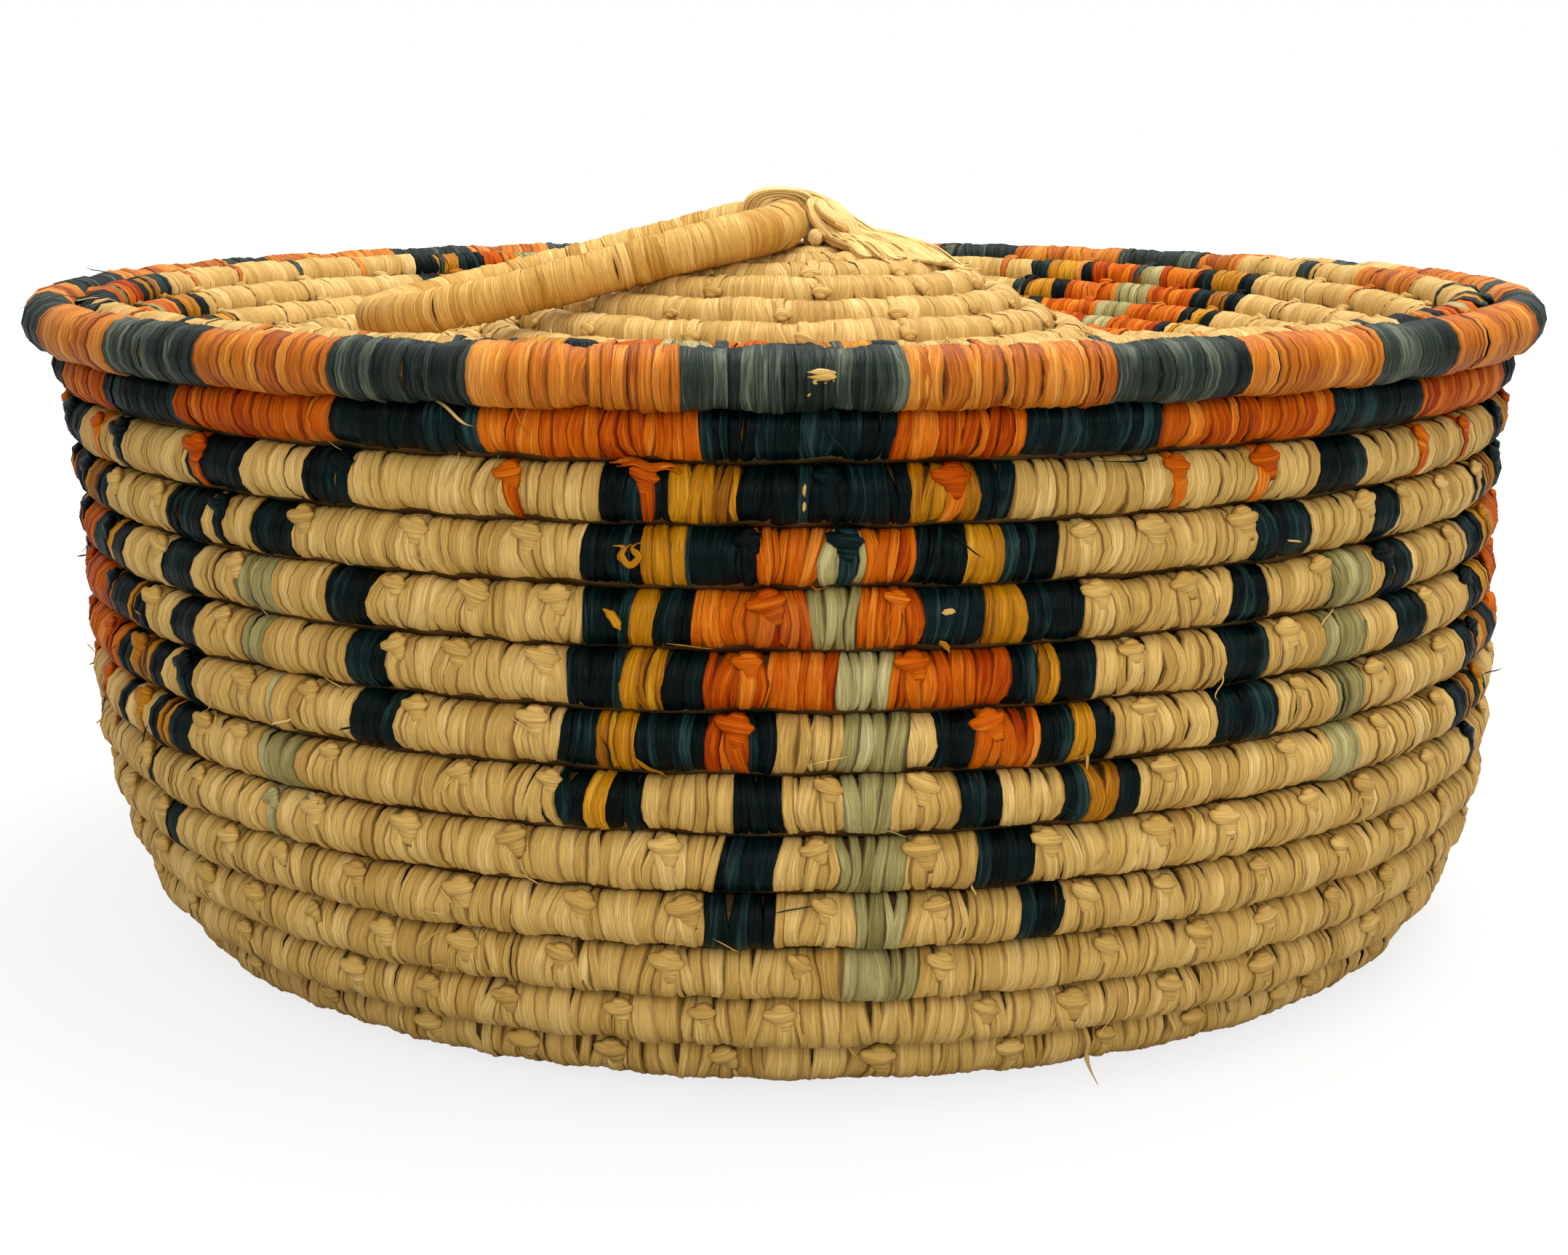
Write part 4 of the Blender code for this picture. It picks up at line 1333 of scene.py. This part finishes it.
# Loose ends on the wraps: a sling of strand beside a stitch, cut tips, a curl, straw that shows
# through, and single fibres that have split off. Each point: turn, degrees from the front, degrees
# up the cord's side, and millimetres off it.
LOOSE_THICKNESS_SHARE = 0.30
LOOSE_TONES = (0.4, 0.9)
LOOSE_TAPER = 4
LOOSE_ENDS = (
    ("base", ORANGE, 1.7,
     "23 -11.6 -30 .3, 23 -10.7 -58 1.0, 22 -9.6 64 1.3, 22 -8.5 52 1.1, 22 -7.5 62 .5"),
    ("base", ORANGE, 1.4,
     "23 -11.3 -44 .3, 23 -10.4 -70 1.3, 22 -9.4 55 1.5, 22 -8.3 46 1.3, 22 -7.7 55 .5"),
    ("base", NATURAL, 0.6, "22 1.1 40 .1, 22 1.15 26 .2, 22 1.1 14 .1"),
    ("base", NATURAL, 0.6, "22 1.15 4 .1, 22 1.1 -6 .2, 22 1.1 -16 .1"),
    ("lid", NATURAL, 1.0, "18 1.0 17 -.1, 18 1.3 17 .2, 18 2.1 18 .2, 18 2.5 18 -.2"),
    ("lid", NATURAL, 1.0, "18 0.9 9 -.2, 18 1.3 9 .15, 18 2.2 8 .2, 18 2.6 9 -.2"),
    ("lid", NATURAL, 0.9, "18 1.1 1 -.2, 18 1.4 0 .1, 18 2.0 1 .1, 18 2.3 1 -.2"),
    ("lid", NATURAL, 0.8, "18 1.0 -22 -.1, 18 1.3 -23 .1, 18 1.7 -22 -.1"),
    ("base", OCHRE, 1.1,
     "21 -8.6 30 .2, 21 -9.6 24 .8, 21 -10.2 8 1.2, 21 -9.7 -8 1.4, 21 -9.1 4 1.5, 21 -9.5 14 1.2"),
    ("base", OCHRE, 1.0, "21 -8.5 2 .2, 21 -9.6 -4 .9, 21 -10.3 2 1.0, 21 -10.1 14 .8"),
    ("base", OCHRE, 1.6, "20 -10.0 -40 .2, 20 -10.6 -14 .5, 20 -11.0 4 .3"),
    ("base", OCHRE, 1.2, "20 9.0 -20 .1, 20 9.4 -36 .4, 20 9.8 -52 .2"),
    ("base", NATURAL, 1.0, "20 9.0 18 .1, 20 9.4 16 .3, 20 9.9 18 .1"),
    ("base", OCHRE, 1.0, "18 -10.6 10 .2, 18 -10.1 -14 .8, 18 -9.4 -40 .6, 18 -8.8 -58 .3"),
    ("base", ORANGE, 0.8, "20 -0.6 66 .4, 20 0.2 74 1.2, 20 1.2 84 1.0, 21 1.6 -60 .4"),
    ("base", ORANGE, 0.9, "18 -0.4 80 1.0, 18 1.0 76 1.5, 18 2.2 82 1.0"),
    ("base", BLACK, 1.3, "22 2.6 -52 .4, 21 3.1 66 1.4, 21 3.8 58 1.3, 21 4.6 76 .4"),
    ("base", NATURAL, 0.5, "23 -23.8 66 .3, 23 -22.6 52 .7, 23 -21.2 36 .9, 23 -20.2 16 .5"),
    ("base", BLACK, 0.5, "23 29.0 -66 .4, 22 23.5 62 2.0, 22 23.2 48 1.2"),
    ("base", NATURAL, 0.8, "18 19.6 -62 .3, 18 19.5 -70 2.2, 17 19.2 66 2.6, 17 18.6 70 1.6"),
    ("base", OCHRE, 0.8, "17 -3.9 88 .6, 17 -3.5 66 1.8, 17 -2.9 68 2.0, 17 -2.6 84 1.2"),
    ("base", GREEN, 1.3, "17 -37.0 -50 .3, 17 -36.2 -74 1.6, 16 -35.4 56 1.4, 16 -35.0 44 .6"),
    ("base", NATURAL, 0.9, "13 21.0 -20 .2, 12 21.2 60 2.0, 12 21.6 10 1.6, 12 21.8 -24 .8"),
    ("base", NATURAL, 0.8, "13 28.0 -60 .2, 12 28.6 40 1.6, 12 29.2 4 1.2"),
    ("base", NATURAL, 0.7, "13 34.4 10 .2, 13 34.6 -50 1.4, 12 34.8 40 2.0, 12 35.0 10 1.4"),
    ("base", NATURAL, 0.6, "12 2.2 60 .2, 12 2.8 40 1.6, 12 3.4 20 1.8"),
)
SINGLE_FIBRES = {"base": 190, "lid": 110}
SINGLE_FIRST_TURN = {"base": 13, "lid": 2}
SINGLE_WIDTH_MM = (0.16, 0.40)
SINGLE_LENGTH = (0.0025, 0.0075)
SINGLE_SIDES_DEGREES = {"base": (-50, 80), "lid": (20, 150)}
SINGLE_RAISED = (0.0004, 0.0018)
SINGLE_WANDER = 0.0003
SINGLE_ROOT_DEPTH = 0.0001
SINGLE_SHARES = (0, 0.35, 0.7, 1)
SINGLE_THICKNESS_SHARE = 0.6
SINGLE_TONES = (0.5, 1)
windings = {"base": base, "lid": lid}
loose_rng = np.random.default_rng(43)


def off_cord(cord, along, degrees_up, lift):
    """A place on the outside of a cord, and the way that the cord's surface faces there."""
    place, outward, upward, radius, _ = along_cord(cord, np.array([along]))
    facing = outward[0] * cos(radians(degrees_up)) + upward[0] * sin(radians(degrees_up))
    return place[0] + facing * (radius[0] + lift), facing


by_colour = {}
for body, letter, width_mm, points in LOOSE_ENDS:
    cord = windings[body].cord
    points = [[float(number) for number in point.split()] for point in points.split(",")]
    spots = [
        off_cord(cord, np.interp(turns_at(turn, degrees), cord.turns, cord.along), up, lift / 1000)
        for turn, degrees, up, lift in points
    ]
    width, thickness = width_mm / 1000, width_mm / 1000 * LOOSE_THICKNESS_SHARE
    by_colour.setdefault((body, letter), []).append(
        Strip(*zip(*spots), width, thickness, loose_rng.uniform(*LOOSE_TONES), LOOSE_TAPER)
    )
for body, count in SINGLE_FIBRES.items():
    cord = windings[body].cord
    first = np.interp(SINGLE_FIRST_TURN[body], cord.turns, cord.along)
    for along in loose_rng.uniform(first, cord.along[-1] * 0.98, count):
        up = loose_rng.uniform(*SINGLE_SIDES_DEGREES[body])
        length = loose_rng.uniform(*SINGLE_LENGTH)
        turned = loose_rng.uniform(0, tau)
        raised = loose_rng.uniform(*SINGLE_RAISED)
        spots = [
            off_cord(
                cord,
                along + share * length * cos(turned) + loose_rng.normal(0, SINGLE_WANDER),
                up + np.degrees(share * length * sin(turned) / BASE_CORD_DIAMETER * 2),
                raised * share**1.5 - SINGLE_ROOT_DEPTH,
            )
            for share in SINGLE_SHARES
        ]
        width = loose_rng.uniform(*SINGLE_WIDTH_MM) / 1000
        turns = np.interp([along], cord.along, cord.turns)
        letter = str(windings[body].colours(turns)[0])
        thickness = width * SINGLE_THICKNESS_SHARE
        by_colour.setdefault((body, letter), []).append(
            Strip(*zip(*spots), width, thickness, loose_rng.uniform(*SINGLE_TONES), LOOSE_TAPER)
        )
for (body, letter), strips in by_colour.items():
    finish = finishes[letter]
    laid_strips(f"{body}_loose_{finish.material.name}", strips, finish, body)

# The studio: a pale floor, a soft sky of light and the camera at the photograph's angle.
FLOOR_SIZE = 8
CAMERA_LENS = 58.59
CAMERA_SENSOR = 36
CAMERA_DISTANCE = 0.524
CAMERA_ABOVE_RIM = 0.04095
CAMERA_DOWN_DEGREES = 11.72
scene = bpy.context.scene
bpy.ops.mesh.primitive_plane_add(size=FLOOR_SIZE, location=(0, 0, 0))
ground = bpy.context.object
ground.name = "studio_floor"
paper = bpy.data.materials.new("studio_paper")
paper.use_nodes = True
paper_tree = paper.node_tree
paper_shader = paper_tree.nodes["Principled BSDF"]
paper_shader.inputs["Base Color"].default_value = (0.5, 0.49, 0.47, 1)
paper_shader.inputs["Roughness"].default_value = 0.95
paper_start = Dye(paper_tree, None)


def seen_by_camera(start):
    """1 for a ray that the camera sends, also one that has gone through something clear."""
    rays = start.node("ShaderNodeLightPath").outputs
    sent = (Dye(start.tree, rays[f"Is {kind} Ray"]) for kind in ("Camera", "Transmission"))
    return start.sum("MAXIMUM", *sent)


on_paper = paper_start.output("ShaderNodeTexCoord", 3)
distance = paper_start.output("ShaderNodeVectorMath", 1, {"operation": "LENGTH"}, _0=on_paper)
glow = paper_start.node("ShaderNodeEmission", Color=(1, 1, 1, 1), Strength=1.22)
blend = paper_start.node(
    "ShaderNodeMixShader",
    _0=seen_by_camera(paper_start) * (distance.ramped(0.18, 0.60) * 0.35 + 0.65),
    _1=Dye(paper_tree, paper_shader.outputs[0]), _2=Dye(paper_tree, glow.outputs[0]),
)
paper_tree.links.new(blend.outputs[0], paper_tree.nodes["Material Output"].inputs["Surface"])
ground.data.materials.append(paper)

world = bpy.data.worlds.new("studio_sky")
scene.world = world
world.use_nodes = True
sky = world.node_tree.nodes["Background"]
sky_start = Dye(world.node_tree, None)
sky.inputs["Color"].default_value = (1, 1, 1, 1)
way = sky_start.output("ShaderNodeTexCoord", 3)
up = sky_start.output("ShaderNodeSeparateXYZ", 2, Vector=way)
lighting = up.ramped(-0.1, 0.9) * 0.62 + 0.36
strength = seen_by_camera(sky_start) * (1 - lighting) + lighting
world.node_tree.links.new(strength.socket, sky.inputs["Strength"])


def softbox(name, place, aim, size, power):
    light = bpy.data.lights.new(name, "AREA")
    light.shape = "RECTANGLE"
    light.size, light.size_y = size
    light.energy = power
    lamp = bpy.data.objects.new(name, light)
    lamp.location = place
    lamp.rotation_euler = (Vector(aim) - Vector(place)).to_track_quat("-Z", "Y").to_euler()
    scene.collection.objects.link(lamp)


softbox("overhead_softbox", (0.22, 0.05, 1.0), (0, 0, 0.08), (0.9, 0.7), 10)
softbox("front_softbox", (0.10, -1.2, 0.60), (0, 0, 0.07), (0.8, 0.7), 5.8)

camera_data = bpy.data.cameras.new("camera")
camera_data.lens = CAMERA_LENS
camera_data.sensor_width = CAMERA_SENSOR
camera_data.sensor_fit = "HORIZONTAL"
camera = bpy.data.objects.new("camera", camera_data)
camera.location = (0, -CAMERA_DISTANCE, lid_levels[-1].height + CAMERA_ABOVE_RIM)
camera.rotation_euler = (pi / 2 - radians(CAMERA_DOWN_DEGREES), 0, 0)
scene.collection.objects.link(camera)
scene.camera = camera
scene.view_settings.view_transform = "Standard"
